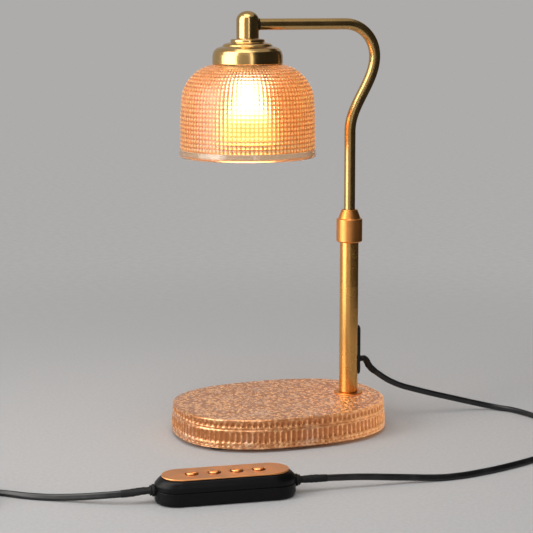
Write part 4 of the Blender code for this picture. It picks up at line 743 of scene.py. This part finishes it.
CUP_OUTLINE = (  # radius and height below the cup's top, from the nipple's hole down to the lowest edge
    (0.0055, 0.0), (0.01335, 0.0), (0.01425, 0.0006), (0.01435, 0.0027), (0.0158, 0.0031), (0.0192, 0.0038),
    (0.0207, 0.0049), (0.0209, 0.0059), (0.0224, 0.0063), (0.0259, 0.0075), (0.0283, 0.0099), (0.0293, 0.0130),
    (0.0295, 0.0165), (0.0295, 0.0202),
)


def make_cup(look):
    """Cup: a stepped outline with rounded shoulders, turned; the sheet's inner side follows one thickness inside."""
    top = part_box("shade_cup")[1][2]
    scale = settings("brass").cup_radius / CUP_OUTLINE[-1][0]
    outline = np.array([(r * scale, top - down) for r, down in CUP_OUTLINE])[::-1]
    outer = soften(outline, 0.0006, 6)
    lip = soften([(outline[0][0] - 0.0010, outline[0][1]), (outline[0][0] - 0.0009, outline[0][1] - 0.0004),
                  outline[0], outline[0] + (0.0, 0.001)], 0.0003)[:-1]
    inner = (outline[1:] - (0.001, 0.001))[::-1]
    inner[0, 0] = outline[-1][0]
    profile = np.concatenate([lip, outer[1:], inner])
    skin("stepped_cup", revolve(profile, 160, HEAD), "arm", look, True, ["shade_cup"])


# Bulb and what holds it.


def make_bulb():
    """Bulb: a smooth curve through its outline, turned; the lens is shallow and the sides are frosted glass."""
    glass = settings("glass")
    low, high = box_of("reflector_bulb")
    pin_foot = high[2] - 0.006
    shares = [(0.01, 0.0), (0.55, 0.012), (0.9, 0.035), (1.0, 0.08), (0.97, 0.15), (0.84, 0.34), (0.64, 0.52),
              (0.47, 0.64), (0.46, 0.8), (0.46, 0.97), (0.4, 1.0), (0.02, 1.0)]
    outline = np.array(shares) * ((high[0] - low[0]) / 2, pin_foot - low[2]) + (0.0, low[2])
    profile = np.concatenate([smooth_line(outline[:8], 60), soften(outline[7:], 0.0006)[1:]])
    look = Look("Lit bulb glass", (0.95, 0.9, 0.8), 0.35)
    height, lens, neck = look.along("Z"), low[2] + 0.003, low[2] + 0.03
    sides = look.band(height, lens + 0.012, neck, 0.25 * glass.glow, glass.glow)
    front = look.band(height, lens, lens + 0.001, glass.glow, 0.0)
    look.drive("Emission Strength", look.maths("MAXIMUM", sides, front))
    hot = look.band(height, lens + 0.01, neck)
    look.drive("Emission Color", look.blend(hot, (1.0, 0.62, 0.3), tuple(glass.glow_colour)))
    look.drive("Roughness", look.band(look.noise(300.0, 2.0), 0.3, 0.7, 0.3, 0.45))
    look.bump(look.noise(900.0, 2.0), 0.00003, 0.5)
    skin("bulb_glass", revolve(profile, 72, HEAD), "arm", look.made, False, ["reflector_bulb"])
    steel = plain_metal("Bulb pin steel", (0.55, 0.55, 0.55))
    corners = [(0.0002, pin_foot), (0.0025, pin_foot), (0.0025, high[2]), (0.0002, high[2])]
    for number, y in ((1, -0.005), (2, 0.005)):
        points = revolve(soften(corners, 0.0004), 24, (HEAD[0], y))
        skin(f"bulb_pin_{number}", points, "arm", steel)


INNER_FINISHES = {  # CAD nodes whose shape is right, by the finish that they get
    "brass": ("tube_end_bush", "top_bush"),
    "steel": ("base_bolt", "base_washer", "grub_screw", "threaded_nipple", "nipple_nut", "housing_screw_1",
              "housing_screw_2", "plug_blade_1", "plug_blade_2"),
    "rubber": ("cushion_washer",),
    "holder": ("lamp_holder", "retaining_ring"),
    "bush": ("split_collet", "guide_bush"),
    "silicone": ("shade_gasket",),
    "board": ("circuit_board",),
}


def finish_inner_pieces():
    """Gives each carried-over CAD node its own finish."""
    board = Look("Board green", (0.03, 0.16, 0.06), 0.4)
    board.drive("Base Color", board.blend(board.noise(500.0), (0.02, 0.11, 0.04), (0.05, 0.22, 0.09)))
    looks = {
        "brass": brushed_brass("Turned bush brass", (0.62, 0.42, 0.17), (40.0, 40.0, 1800.0)),
        "steel": plain_metal("Plated steel", (0.6, 0.6, 0.6)),
        "rubber": plastic("Washer rubber", (0.02, 0.02, 0.02), 0.7),
        "holder": plastic("Holder plastic", (0.05, 0.045, 0.04), 0.5),
        "bush": plastic("Bush plastic", (0.62, 0.6, 0.55), 0.45),
        "silicone": plastic("Clear silicone", (0.72, 0.68, 0.6), 0.4),
        "board": board.made,
    }
    for finish, nodes in INNER_FINISHES.items():
        for node in nodes:
            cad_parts[node].material_slots[0].material = looks[finish]


# Controller.

CONTROLLER_PLACE = (-0.1054, -0.1656)
BUTTON_PITCH = 0.017
SPLIT = 0.0105


def on_controller(points):
    """Turns points in the controller's own frame to the way it lies on the table."""
    turn = settings("control").turn
    c, s = math.cos(turn), math.sin(turn)
    x = CONTROLLER_PLACE[0] + c * points[..., 0] - s * points[..., 1]
    y = CONTROLLER_PLACE[1] + s * points[..., 0] + c * points[..., 1]
    return np.stack([x, y, points[..., 2]], axis=-1)


PLATE_INSET = (0.0053, 0.0026)  # at the ends and along the sides
SHOULDER = 0.0145  # height where the ends start to slope in
DISH_WIDTH = 0.001


def stacked_slots(profile, columns=224):
    """Oblong rings stacked by a profile of (inset, height): P(i, u) = outline drawn in by inset_i, at height_i. Above
    the shoulder the ends slope in further than the sides."""
    control = settings("control")
    slope = PLATE_INSET[0] - PLATE_INSET[1]
    extra = np.clip((profile[:, 1] - SHOULDER) / (control.height - SHOULDER), 0.0, 1.0) * slope
    rings = [
        slot_outline(control.length - 2 * (inset + more), control.width - 2 * inset, columns)
        for (inset, _), more in zip(profile, extra)
    ]
    return at_height(np.stack(rings), profile[:, 1:])


BUTTON_SPOTS = [((number - 1.5) * BUTTON_PITCH, 0.0) for number in range(4)]


def make_controller():
    """Housings: oblong rings on rounded profiles, lower tray and upper cover with the split line between them."""
    control = settings("control")
    black = plastic("Black housing plastic", control.black_colour, 0.36, 0.00002)
    wall, top, foot = 0.0018, control.height, SPLIT + 0.0003
    tray = [(0.0140, 0.0), (0.0028, 0.0), (0.0009, 0.0008), (0.0, 0.0030), (0.0, SPLIT - 0.0002), (0.0003, SPLIT),
            (wall, SPLIT), (wall, 0.0036), (wall + 0.0016, 0.0018), (0.0140, 0.0018)]
    cover = [(wall, foot), (0.0003, foot), (0.0, foot + 0.0003), (0.0, top - 0.0048), (0.0010, top - 0.0016),
             (0.0021, top - 0.0002), (0.0034, top), (0.0140, top), (0.0140, top - wall), (wall + 0.0024, top - wall),
             (wall, top - 0.0048)]
    for name, ring, reach, node in (("tray", tray, 0.0007, "lower"), ("cover", cover, 0.0008, "upper")):
        points = on_controller(stacked_slots(soft_ring(ring, reach, 4)))
        skin(f"controller_{name}", points, "column", black, True, [f"controller_{node}_housing"])
    make_plate()
    make_buttons()
    make_grommets()


def make_plate():
    """Plate: rings from its edge to its middle line, z = top - d q(r), where q falls in a smooth step across each
    button's dish, 1 mm wide, and each hole goes down inside it."""
    control = settings("control")
    low = control.height + 0.0003
    high = low + 0.0011
    length, width = control.length - 2 * PLATE_INSET[0], control.width - 2 * PLATE_INSET[1]

    def ring(inset):
        return slot_outline(length - 2 * inset, width - 2 * inset, 448)

    share = np.linspace(1.0, 0.02, 44)
    rings = np.stack([ring(width * (1.0 - s) / 2) for s in share])
    near = np.full(rings.shape[:2], 1.0)
    for x, y in BUTTON_SPOTS:
        near = np.minimum(near, np.hypot(rings[..., 0] - x, rings[..., 1] - y))
    q = np.clip((control.button_radius + 0.0013 - near) / DISH_WIDTH, 0.0, 1.0)
    top = at_height(rings, high - q * q * (3.0 - 2.0 * q) * 0.0009)
    top[0, :, :2] = ring(0.0003)
    edge = np.array([(0.0003, low), (0.0, low + 0.0002), (0.0, high - 0.0003), (0.0001, high - 0.0001)])
    sides = at_height(np.stack([ring(inset) for inset in edge[:, 0]]), edge[:, 1:])
    look = copper("Satin copper plate", control.copper_colour, 0.34)
    skin("copper_plate", on_controller(np.concatenate([sides, top])), "column", look, False,
         ["face_plate"])


def make_buttons():
    """Buttons: a straight rim under a shallow dome, r = R cos a, z = rim + h sin a, each on its own body."""
    control = settings("control")
    look = smooth_copper("Polished copper button", control.copper_colour, 0.3)
    dark = plastic("Black button gap", (0.006, 0.006, 0.006), 0.6)
    angle = np.linspace(0.0, np.pi / 2, 14)[1:-1]
    radius = control.button_radius
    for number, spot in enumerate(BUTTON_SPOTS, start=1):
        low, high = box_of(f"button_{number}")[:, 2]
        rim = high - 0.0013
        dome = np.stack([radius * np.cos(angle) ** 0.8, rim + 0.0013 * np.sin(angle)], axis=1)
        flange = [(0.0003, low), (radius + 0.0013, low), (radius + 0.0013, low + 0.0012), (radius, low + 0.0012),
                  (radius, rim)]
        points = on_controller(revolve(np.concatenate([soften(flange, 0.0002), dome]), 56, spot))
        skin(f"button_dome_{number}", points, f"key_{number}", look, False, [f"button_{number}"])
        gap = [(radius + 0.00015, rim - 0.0012), (radius + 0.0006, rim - 0.0012), (radius + 0.0006, rim - 0.0004),
               (radius + 0.00015, rim - 0.0004)]
        points = on_controller(revolve(soft_ring(gap, 0.0001, 3), 40, spot))
        skin(f"button_gap_{number}", points, "column", dark, True)


def turned_sideways(profile, columns, side):
    """Surface of revolution about the controller's long axis: P(i, u) = (side x, r cos u, z0 + r sin u)."""
    u = around(columns) * side
    x = np.broadcast_to(side * profile[:, :1], (len(profile), columns))
    return np.stack([x, profile[:, 1:] * np.cos(u), GROMMET_HEIGHT + profile[:, 1:] * np.sin(u)], axis=-1)


GROMMET_HEIGHT = 0.01
GROMMET_END = 0.0573  # from the controller's middle to the grommet's outer end


def make_grommets():
    """Grommets: a turned flange with a short ribbed neck where each cord leaves the controller."""
    rubber = plastic("Grommet rubber", (0.013, 0.013, 0.013), 0.55)
    out = [(0.0495, 0.0002), (0.0495, 0.0044), (0.0505, 0.0044), (0.0505, 0.0035), (0.0538, 0.0035), (0.0538, 0.0046),
           (0.0553, 0.0046), (0.0556, 0.0036), (0.0561, 0.0036), (0.0564, 0.0040), (0.0569, 0.0040), (0.0573, 0.0032),
           (0.0573, 0.0002)]
    profile = soften(out, 0.0003, 4)
    for name, side in (("lamp_side", 1.0), ("plug_side", -1.0)):
        points = on_controller(turned_sideways(profile, 40, side))
        skin(f"cord_grommet_{name}", points, "column", rubber, False, [f"grommet_{name}"])


# Cord, with the route that the CAD's cord takes.

LAMP_ROUTE = (
    (0.0856, 0.0, 0.0479), (0.0944, 0.0, 0.0407), (0.104, 0.0, 0.0343), (0.1152, 0.0, 0.0289),
    (0.1288, -0.0002, 0.0243), (0.1442, -0.0006, 0.0195), (0.1648, -0.0015, 0.0136), (0.1848, -0.0025, 0.0079),
    (0.2015, -0.0065, 0.0038), (0.213, -0.0165, 0.0023), (0.2195, -0.03, 0.0022), (0.2235, -0.046, 0.0022),
    (0.2262, -0.07, 0.0022), (0.2235, -0.097, 0.0022), (0.213, -0.1225, 0.0022), (0.1955, -0.143, 0.0022),
    (0.1745, -0.157, 0.0022), (0.154, -0.1655, 0.0022), (0.1298, -0.1737, 0.0022), (0.106, -0.18, 0.0022),
    (0.0824, -0.1838, 0.0022), (0.0622, -0.1834, 0.0028), (0.031, -0.1795, 0.0053), (-0.0012, -0.1768, 0.0083),
    (-0.0325, -0.1741, 0.0098),
)
SUPPLY_ROUTE = (
    (-0.178, -0.1562, 0.0088), (-0.1935, -0.1492, 0.0069), (-0.2095, -0.1392, 0.0045), (-0.2285, -0.127, 0.0026),
    (-0.2425, -0.1179, 0.0022), (-0.2575, -0.1047, 0.0022), (-0.271, -0.0926, 0.0022),
)
LAMP_EXIT = (0.0753, 0.0, 0.0563)
COIL_START = (-0.285, -0.08)
COIL_HEADING = math.radians(138.5)
COIL_RADIUS = 0.034
COIL_TURNS = 3.25
COIL_SPACING = 0.005
COIL_DIP = 0.0012
COIL_TAIL = 0.045
PLUG_SIZE = (0.038, 0.024, 0.0124)
RELIEF_LENGTH = 0.021


def smooth_route(route, step):
    """The route as one curve: Hermite cubics whose times grow with the square root of each chord, taken at even
    steps, and straight over the first and last chords."""
    places = np.asarray(route, float)
    chords = np.sqrt(steps_of(places))
    slopes = np.gradient(places, travel(chords), axis=0)
    slopes[:2] = (places[1] - places[0]) / chords[0]
    slopes[-2:] = (places[-1] - places[-2]) / chords[-1]
    t = np.linspace(0.0, 1.0, 40, endpoint=False)[None, :, None]
    before, after, wide = places[:-1, None], places[1:, None], chords[:, None, None]
    dense = (2 * t**3 - 3 * t**2 + 1) * before + (t**3 - 2 * t**2 + t) * wide * slopes[:-1, None]
    dense += (3 * t**2 - 2 * t**3) * after + (t**3 - t**2) * wide * slopes[1:, None]
    line = in_steps(np.concatenate([dense.reshape(-1, 3), places[-1:]]), step)
    line[:, 2] = np.maximum(line[:, 2], settings("cord").diameter / 2)
    return line


def in_steps(line, step):
    """The line again in even steps of about one length."""
    return even_steps(line, round(steps_of(line).sum() / step) + 1)


def grommet_ends(side):
    """Outer end of a grommet and the way that the cord leaves it."""
    turn = settings("control").turn
    way = side * np.array([math.cos(turn), math.sin(turn), 0.0])
    return np.array([*CONTROLLER_PLACE, GROMMET_HEIGHT]) + GROMMET_END * way, way


def coil_line(step):
    """Coil: inward on the table with r = R - p n, n the turns; a climb of one spacing over half a turn, where r dips by
    a sine; outward on top with r = r0 + p n; then a straight tail that falls to the plug's middle."""
    along = np.array([math.cos(COIL_HEADING), math.sin(COIL_HEADING), 0.0])
    left = np.array([-along[1], along[0], 0.0])
    start = np.array([*COIL_START, settings("cord").diameter / 2])
    centre = start + left * COIL_RADIUS
    first = math.atan2(-left[1], -left[0])
    small = COIL_RADIUS - COIL_SPACING * COIL_TURNS
    turn = np.linspace(0.0, 2 * COIL_TURNS + 0.5, 900)
    climb = np.clip((turn - COIL_TURNS) / 0.5, 0.0, 1.0)
    radius = np.where(turn < COIL_TURNS, COIL_RADIUS - COIL_SPACING * turn, small - COIL_DIP * np.sin(np.pi * climb))
    radius = np.where(climb < 1.0, radius, small + COIL_SPACING * (turn - COIL_TURNS - 0.5))
    angle = first + TURN * turn
    rise = COIL_SPACING * (1.0 - np.cos(np.pi * climb)) / 2
    wound = centre + np.stack([radius * np.cos(angle), radius * np.sin(angle), rise], axis=1)
    q = np.linspace(0.0, 1.0, 30)[1:, None]
    fall = (wound[-1, 2] - PLUG_SIZE[2] / 2) * (1.0 - np.cos(np.pi * q)) / 2
    tail = wound[-1] + along * COIL_TAIL * q - fall * np.array([0.0, 0.0, 1.0])
    end = tail[-1:] + along * settings("cord").diameter
    return in_steps(np.concatenate([wound, tail, end]), step), along


def cord_section():
    """Twin cord's section: an ellipse pinched along its middle by 1 - 0.24 exp(-(x/w)^2)."""
    cord = settings("cord")
    section = ellipse(cord.across / 2, cord.through / 2, cord.sides)
    section[:, 1] *= 1.0 - 0.24 * np.exp(-((section[:, 0] / (0.11 * cord.across)) ** 2))
    return section


def cord_look():
    """Black sheath: soft gloss, faint lengthwise ridges and a little dust."""
    look = Look("Black cord sheath", (0.008, 0.008, 0.0085), 0.36, Specular_IOR_Level=0.5)
    dust = look.noise(160.0, 5.0)
    look.drive("Base Color", look.blend(look.band(dust, 0.45, 0.75), (0.006, 0.006, 0.0065), (0.014, 0.014, 0.0145)))
    look.drive("Roughness", look.band(dust, 0.3, 0.7, 0.3, 0.42))
    ridges = look.noise(1.0, 1.0, (14.0, 1.5, 1.0), "UV")
    return look.bump(ridges, 0.0001, 0.6).made


def upward(line):
    """Directions square to a line that point up as far as they can."""
    ahead = unit(np.gradient(line, axis=0))
    return np.cross(unit(np.cross(ahead, (0.0, 0.0, 1.0))), ahead)


def lay_cord(name, line, look, twist, replaces):
    """Carries the cord's section along its line. The twist stands it on edge or lays it flat, and its middle lies at
    least sqrt((a sin w)^2 + (b cos w)^2) above the table, a and b its half sizes."""
    cord = settings("cord")
    rest = np.hypot(cord.across / 2 * np.sin(twist), cord.through / 2 * np.cos(twist))
    line = at_height(line[:, :2], np.maximum(line[:, 2], rest))
    points = carry(line, cord_section(), upward(line), twist)
    return skin(name, points, "column", look, False, replaces), line, steps_of(line).sum()


def taper_along(name, line, twist, look):
    """Strain relief: the cord's own oval carried over its first stretch, 1.4 times as large at the housing and 1.08
    times at its thin end, with shallow rings, scale = 1.4 - 0.32 q^0.8 - 0.06 sin^2(5 pi q)."""
    cord = settings("cord")
    stations = np.linspace(0.0, RELIEF_LENGTH, 56)
    path = points_at(line, stations)
    q = stations / RELIEF_LENGTH
    scale = 1.4 - 0.32 * q**0.8 - 0.06 * np.sin(5.0 * np.pi * q) ** 2 * (q < 0.85)
    section = ellipse(cord.across / 2, cord.through / 2, 32) * scale[:, None, None]
    points = carry(path, section, upward(path), np.interp(stations, travel(steps_of(line)), twist))
    return skin(name, points, "column", look, False)


def make_cords():
    """Cords: the route as one curve each, with strain reliefs, and each cord's length measured on its curve."""
    cord = settings("cord")
    d, look = cord.diameter, cord_look()
    step = d / 2
    relief = plastic("Strain relief rubber", (0.012, 0.012, 0.012), 0.5)
    start = np.array(LAMP_EXIT)
    end, way = grommet_ends(1.0)
    line = smooth_route([start, start + (d, 0.0, 0.0), *LAMP_ROUTE, end + way * d, end], step)
    place = np.arange(len(line))
    on_edge = np.clip(np.minimum(place, place[::-1]) / 8.0, 0.0, 1.0)
    twist = (1.25 + 0.3 * np.sin(np.linspace(0.0, 8.0, len(line)))) * on_edge
    piece, line, length = lay_cord("cord_to_controller", line, look, twist, ["cord_lamp_to_controller"])
    at_strip = taper_along("relief_at_strip", line, twist, relief)
    at_lamp_side = taper_along("relief_lamp_side", line[::-1], -twist[::-1], relief)
    begin, way = grommet_ends(-1.0)
    coil, along = coil_line(step)
    stop = np.array([*COIL_START, d / 2]) - along * d
    line = smooth_route([begin, begin + way * d, *SUPPLY_ROUTE, stop - along * d, stop], step)
    line = np.concatenate([line, coil])
    place = np.arange(len(line))
    twist = 1.3 * np.clip(place / 8.0, 0.0, 1.0) * np.clip((70.0 - place) / 40.0, 0.0, 1.0)
    piece, line, length = lay_cord("cord_to_plug", line, look, twist, ["cord_controller_to_coil", "cord_coil"])
    at_plug_side = taper_along("relief_plug_side", line, twist, relief)
    plug = make_plug(line[-1], along)


def make_plug(end, along):
    """Plug: superellipse sections that swell from the cord to the body, with finger ridges and a flat face."""
    length, width, height = PLUG_SIZE
    station = [0.0, 0.02, 0.1, 0.2, 0.3, 0.36, 0.42, 0.5, 0.58, 0.66, 0.74, 0.82, 0.9, 0.95, 0.985, 1.0]
    growth = [0.0, 0.01, 0.02, 0.04, 0.08, 0.28, 0.6, 0.9, 1.0, 1.0, 1.0, 1.0, 1.0, 1.0, 0.96, 0.88]
    q = np.linspace(0.0, 1.0, 110)
    g = np.convolve(np.pad(np.interp(q, station, growth), 2, mode="edge"), np.ones(5) / 5.0, mode="valid")
    half_width, half_height = (0.0034 + g * (size / 2 - 0.0034) for size in (width, height))
    grip = 0.00045 * np.sin((q - 0.6) / 0.3 * 5.0 * np.pi) ** 2 * ((q > 0.6) & (q < 0.9))
    ribs = 0.0004 * np.sin(q / 0.3 * 5.0 * np.pi) ** 2 * (q < 0.3)
    sizes = (half_width - ribs - grip)[:, None], (half_height - ribs)[:, None]
    section = oval(*sizes, 2.0 + g[:, None], around(64))
    left = np.array([-along[1], along[0], 0.0])
    base = np.array([end[0], end[1], height / 2]) + along * 0.0003
    points = base + (q * length)[:, None, None] * along + section[..., :1] * left + section[..., 1:] * (0.0, 0.0, 1.0)
    black = plastic("Black plug plastic", (0.013, 0.013, 0.014), 0.45)
    piece = skin("plug_moulding", points, "column", black, False, ["plug_body"])
    return [piece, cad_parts["plug_blade_1"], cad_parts["plug_blade_2"]]


# Stage.

CAMERA_PLACE = (-0.4786, -1.2558, 0.3693)
FLOOR_RADIUS = 6.0
CARD_RADIUS = 0.5
CARD_HEIGHT = 0.9


def make_backdrop():
    """Floor: a flat disc of paper. Further out it passes into the backdrop's even grey, which the room has too, so no
    line shows where they meet."""
    studio = settings("studio")
    r = np.linspace(0.0, 1.0, 60)[1:] ** 2 * FLOOR_RADIUS
    columns = 120
    points = at_height(r[:, None, None] * ellipse(1.0, 1.0, columns), 0.0)
    i, j = np.arange(len(r) - 1)[:, None] * columns, np.arange(columns)
    after = (j + 1) % columns
    quads = np.stack([i + j, i + columns + j, i + columns + after, i + after], axis=-1)
    fan = np.stack([np.full(columns, len(r) * columns), j, after], axis=1)
    mesh = bpy.data.meshes.new("backdrop")
    vertices = np.concatenate([points.reshape(-1, 3), np.zeros((1, 3))])
    mesh.from_pydata(vertices.tolist(), [], quads.reshape(-1, 4).tolist() + fan.tolist())
    colour, wall = studio.paper_colour, studio.wall_colour
    look = Look("Grey paper", colour, 0.9, Specular_IOR_Level=0.1)
    mottle = look.band(look.noise(330.0, 6.0, roughness=0.7), 0.3, 0.7)
    look.drive("Base Color", look.blend(mottle, tinted(colour, 0.95), tinted(colour, 1.05)))
    distance = look.node("ShaderNodeVectorMath", {0: look.places.outputs["Object"]}, operation="LENGTH").outputs[1]
    grey = look.blend(look.band(look.noise(90.0, 6.0, roughness=0.7), 0.3, 0.7), tinted(wall, 0.96), tinted(wall, 1.04))
    even = look.node("ShaderNodeEmission", {"Color": grey, "Strength": 1.0}).outputs[0]
    parts = {0: look.band(distance, 0.2, 0.95), 1: look.shader.outputs[0], 2: even}
    mixed = look.node("ShaderNodeMixShader", parts).outputs[0]
    look.tree.links.new(mixed, look.tree.nodes["Material Output"].inputs["Surface"])
    mesh.materials.append(look.made)
    put("backdrop", mesh)


def add_card(name, start, end, look):
    """Card that only reflections see, an upright arc round the lamp: P(i, j) = (R cos a, R sin a, z)."""
    a = np.radians(np.linspace(start, end, 40))
    arc = CARD_RADIUS * np.stack([np.cos(a), np.sin(a)], axis=-1)
    points = at_height(np.stack([arc, arc]), np.array([[0.0], [CARD_HEIGHT]]))
    j = np.arange(39)
    mesh = bpy.data.meshes.new(name)
    mesh.from_pydata(points.reshape(-1, 3).tolist(), [], np.stack([j, j + 1, j + 41, j + 40], axis=1).tolist())
    mesh.materials.append(look)
    card = put(name, mesh)
    card.visible_camera = card.visible_diffuse = card.visible_shadow = card.visible_transmission = False


def make_cards():
    """A bright card to the left, brighter above the base than below, and a dark one to the right, so that the brass
    shows a pale and a dark band."""
    add_card("dark_card", -95.0, 35.0, plastic("Dark card", (0.02, 0.02, 0.02), 0.9))
    bright = Look("Bright card", (0.8, 0.8, 0.8), 0.9, Emission_Color=(1.0, 0.97, 0.93, 1.0))
    bright.drive("Emission Strength", bright.band(bright.along("Z"), 0.22, 0.28, 2.1, 4.4))
    add_card("bright_card", 164.0, 212.0, bright.made)


def add_lamp(name, place, target, size, power):
    """Soft rectangular lamp that points at a target."""
    light = bpy.data.lights.new(name, "AREA")
    light.shape = "RECTANGLE"
    light.size, light.size_y = size
    light.energy = power
    lamp = put(name, light)
    lamp.location = place
    lamp.rotation_euler = (Vector(place) - Vector(target)).to_track_quat("Z", "Y").to_euler()
    lamp.visible_camera = False


def make_studio():
    """Camera, soft lamps and a dim room."""
    studio = settings("studio")
    camera = bpy.data.cameras.new("Camera")
    camera.lens = studio.lens
    camera.shift_y = studio.shift
    viewer = put("Camera", camera)
    viewer.location = CAMERA_PLACE
    viewer.rotation_euler = (math.pi / 2 - studio.pitch, 0.0, -studio.yaw)
    bpy.context.scene.camera = viewer
    add_lamp("Side softbox", (-1.37, -0.3, 0.62), (0.0, 0.0, 0.5), (0.55, 1.24), studio.key_power)
    add_lamp("Front strip", (-0.2, -1.5, 0.7), (0.0, 0.0, 0.3), (0.22, 1.2), 0.12 * studio.key_power)
    add_lamp("Overhead softbox", (-0.45, -0.5, 1.75), (0.0, 0.0, 0.1), (1.3, 1.3), studio.fill_power)
    light_room()
    bpy.context.scene.view_settings.view_transform = "Standard"


def light_room():
    """The room: the backdrop's grey where it is seen or reflected, and an even pale light on everything."""
    studio = settings("studio")
    room = bpy.data.worlds.new("Room")
    room.use_nodes = True
    tree = room.node_tree
    light = tree.nodes["Background"]
    light.inputs["Color"].default_value = (1.0, 0.985, 0.97, 1.0)
    light.inputs["Strength"].default_value = studio.room
    seen = add_node(tree, "ShaderNodeBackground", {"Color": (*studio.wall_colour, 1.0)})
    ray = add_node(tree, "ShaderNodeLightPath", {}).outputs
    parts = {0: ray["Is Glossy Ray"], 1: ray["Is Transmission Ray"]}
    through = add_node(tree, "ShaderNodeMath", parts, operation="MAXIMUM").outputs[0]
    parts = {0: ray["Is Camera Ray"], 1: through}
    either = add_node(tree, "ShaderNodeMath", parts, operation="MAXIMUM").outputs[0]
    mix = add_node(tree, "ShaderNodeMixShader", {0: either, 1: light.outputs[0], 2: seen.outputs[0]})
    tree.links.new(mix.outputs[0], tree.nodes["World Output"].inputs["Surface"])
    bpy.context.scene.world = room


# Add-on.


class LAMP_OT_add_stage(bpy.types.Operator):
    """Add the camera, the soft lamps and the grey backdrop"""

    bl_idname = "lamp.add_stage"
    bl_label = "Stage"

    def execute(self, context):
        make_studio()
        make_backdrop()
        make_cards()
        return {"FINISHED"}


class LAMP_OT_add_controller(bpy.types.Operator):
    """Add the controller: housings, copper plate, domed buttons and grommets"""

    bl_idname = "lamp.add_controller"
    bl_label = "Controller"

    def execute(self, context):
        make_controller()
        return {"FINISHED"}


class LAMP_OT_add_cords(bpy.types.Operator):
    """Add the cord from the column to the controller, and the coiled cord with its plug"""

    bl_idname = "lamp.add_cords"
    bl_label = "Cords and plug"

    def execute(self, context):
        make_cords()
        return {"FINISHED"}


class LAMP_OT_add_base(bpy.types.Operator):
    """Add the pressed glass base and its feet"""

    bl_idname = "lamp.add_base"
    bl_label = "Base"

    def execute(self, context):
        make_base()
        make_feet()
        return {"FINISHED"}


class LAMP_OT_add_column(bpy.types.Operator):
    """Add the column: tube, foot washer, lock nut and cord strip"""

    bl_idname = "lamp.add_column"
    bl_label = "Column"

    def execute(self, context):
        make_column()
        return {"FINISHED"}


class LAMP_OT_add_arm(bpy.types.Operator):
    """Add the swan-neck arm with its knuckle and stepped cup"""

    bl_idname = "lamp.add_arm"
    bl_label = "Arm and head"

    def execute(self, context):
        make_arm()
        make_head()
        return {"FINISHED"}


class LAMP_OT_add_shade(bpy.types.Operator):
    """Add the pressed glass shade"""

    bl_idname = "lamp.add_shade"
    bl_label = "Shade"

    def execute(self, context):
        make_shade()
        return {"FINISHED"}


class LAMP_OT_add_bulb(bpy.types.Operator):
    """Add the lit bulb and its pins"""

    bl_idname = "lamp.add_bulb"
    bl_label = "Bulb"

    def execute(self, context):
        make_bulb()
        return {"FINISHED"}


class LAMP_OT_finish_inner_pieces(bpy.types.Operator):
    """Give the fastenings, bushes, holder and board their finishes"""

    bl_idname = "lamp.finish_inner_pieces"
    bl_label = "Inner pieces"

    def execute(self, context):
        finish_inner_pieces()
        return {"FINISHED"}


OPERATORS = (
    LAMP_OT_add_stage,
    LAMP_OT_add_controller,
    LAMP_OT_add_cords,
    LAMP_OT_add_base,
    LAMP_OT_add_column,
    LAMP_OT_add_arm,
    LAMP_OT_add_shade,
    LAMP_OT_add_bulb,
    LAMP_OT_finish_inner_pieces,
)
GROUPS = {
    "lamp_glass": GlassSettings,
    "lamp_brass": BrassSettings,
    "lamp_control": ControlSettings,
    "lamp_cord": CordSettings,
    "lamp_studio": StudioSettings,
}


class LAMP_PT_pieces(bpy.types.Panel):
    """Lists the lamp's pieces and their settings"""

    bl_idname = "LAMP_PT_pieces"
    bl_label = "Candle Warmer Lamp"
    bl_space_type = "VIEW_3D"
    bl_region_type = "UI"
    bl_category = "Warmer Lamp"

    def draw(self, context):
        column = self.layout.column(align=True)
        for operator in OPERATORS:
            column.operator(operator.bl_idname)
        for pointer, group in GROUPS.items():
            box = self.layout.box().column(align=True)
            for name in group.__annotations__:
                box.prop(getattr(context.scene, pointer), name)


CLASSES = (*GROUPS.values(), *OPERATORS, LAMP_PT_pieces)


def register():
    for cls in CLASSES:
        bpy.utils.register_class(cls)
    for pointer, group in GROUPS.items():
        setattr(bpy.types.Scene, pointer, bpy.props.PointerProperty(type=group))


def unregister():
    for pointer in GROUPS:
        delattr(bpy.types.Scene, pointer)
    for cls in reversed(CLASSES):
        bpy.utils.unregister_class(cls)


def main():
    register()
    for operator in OPERATORS:
        group, name = operator.bl_idname.split(".")
        getattr(getattr(bpy.ops, group), name)()


if __name__ == "__main__":
    main()
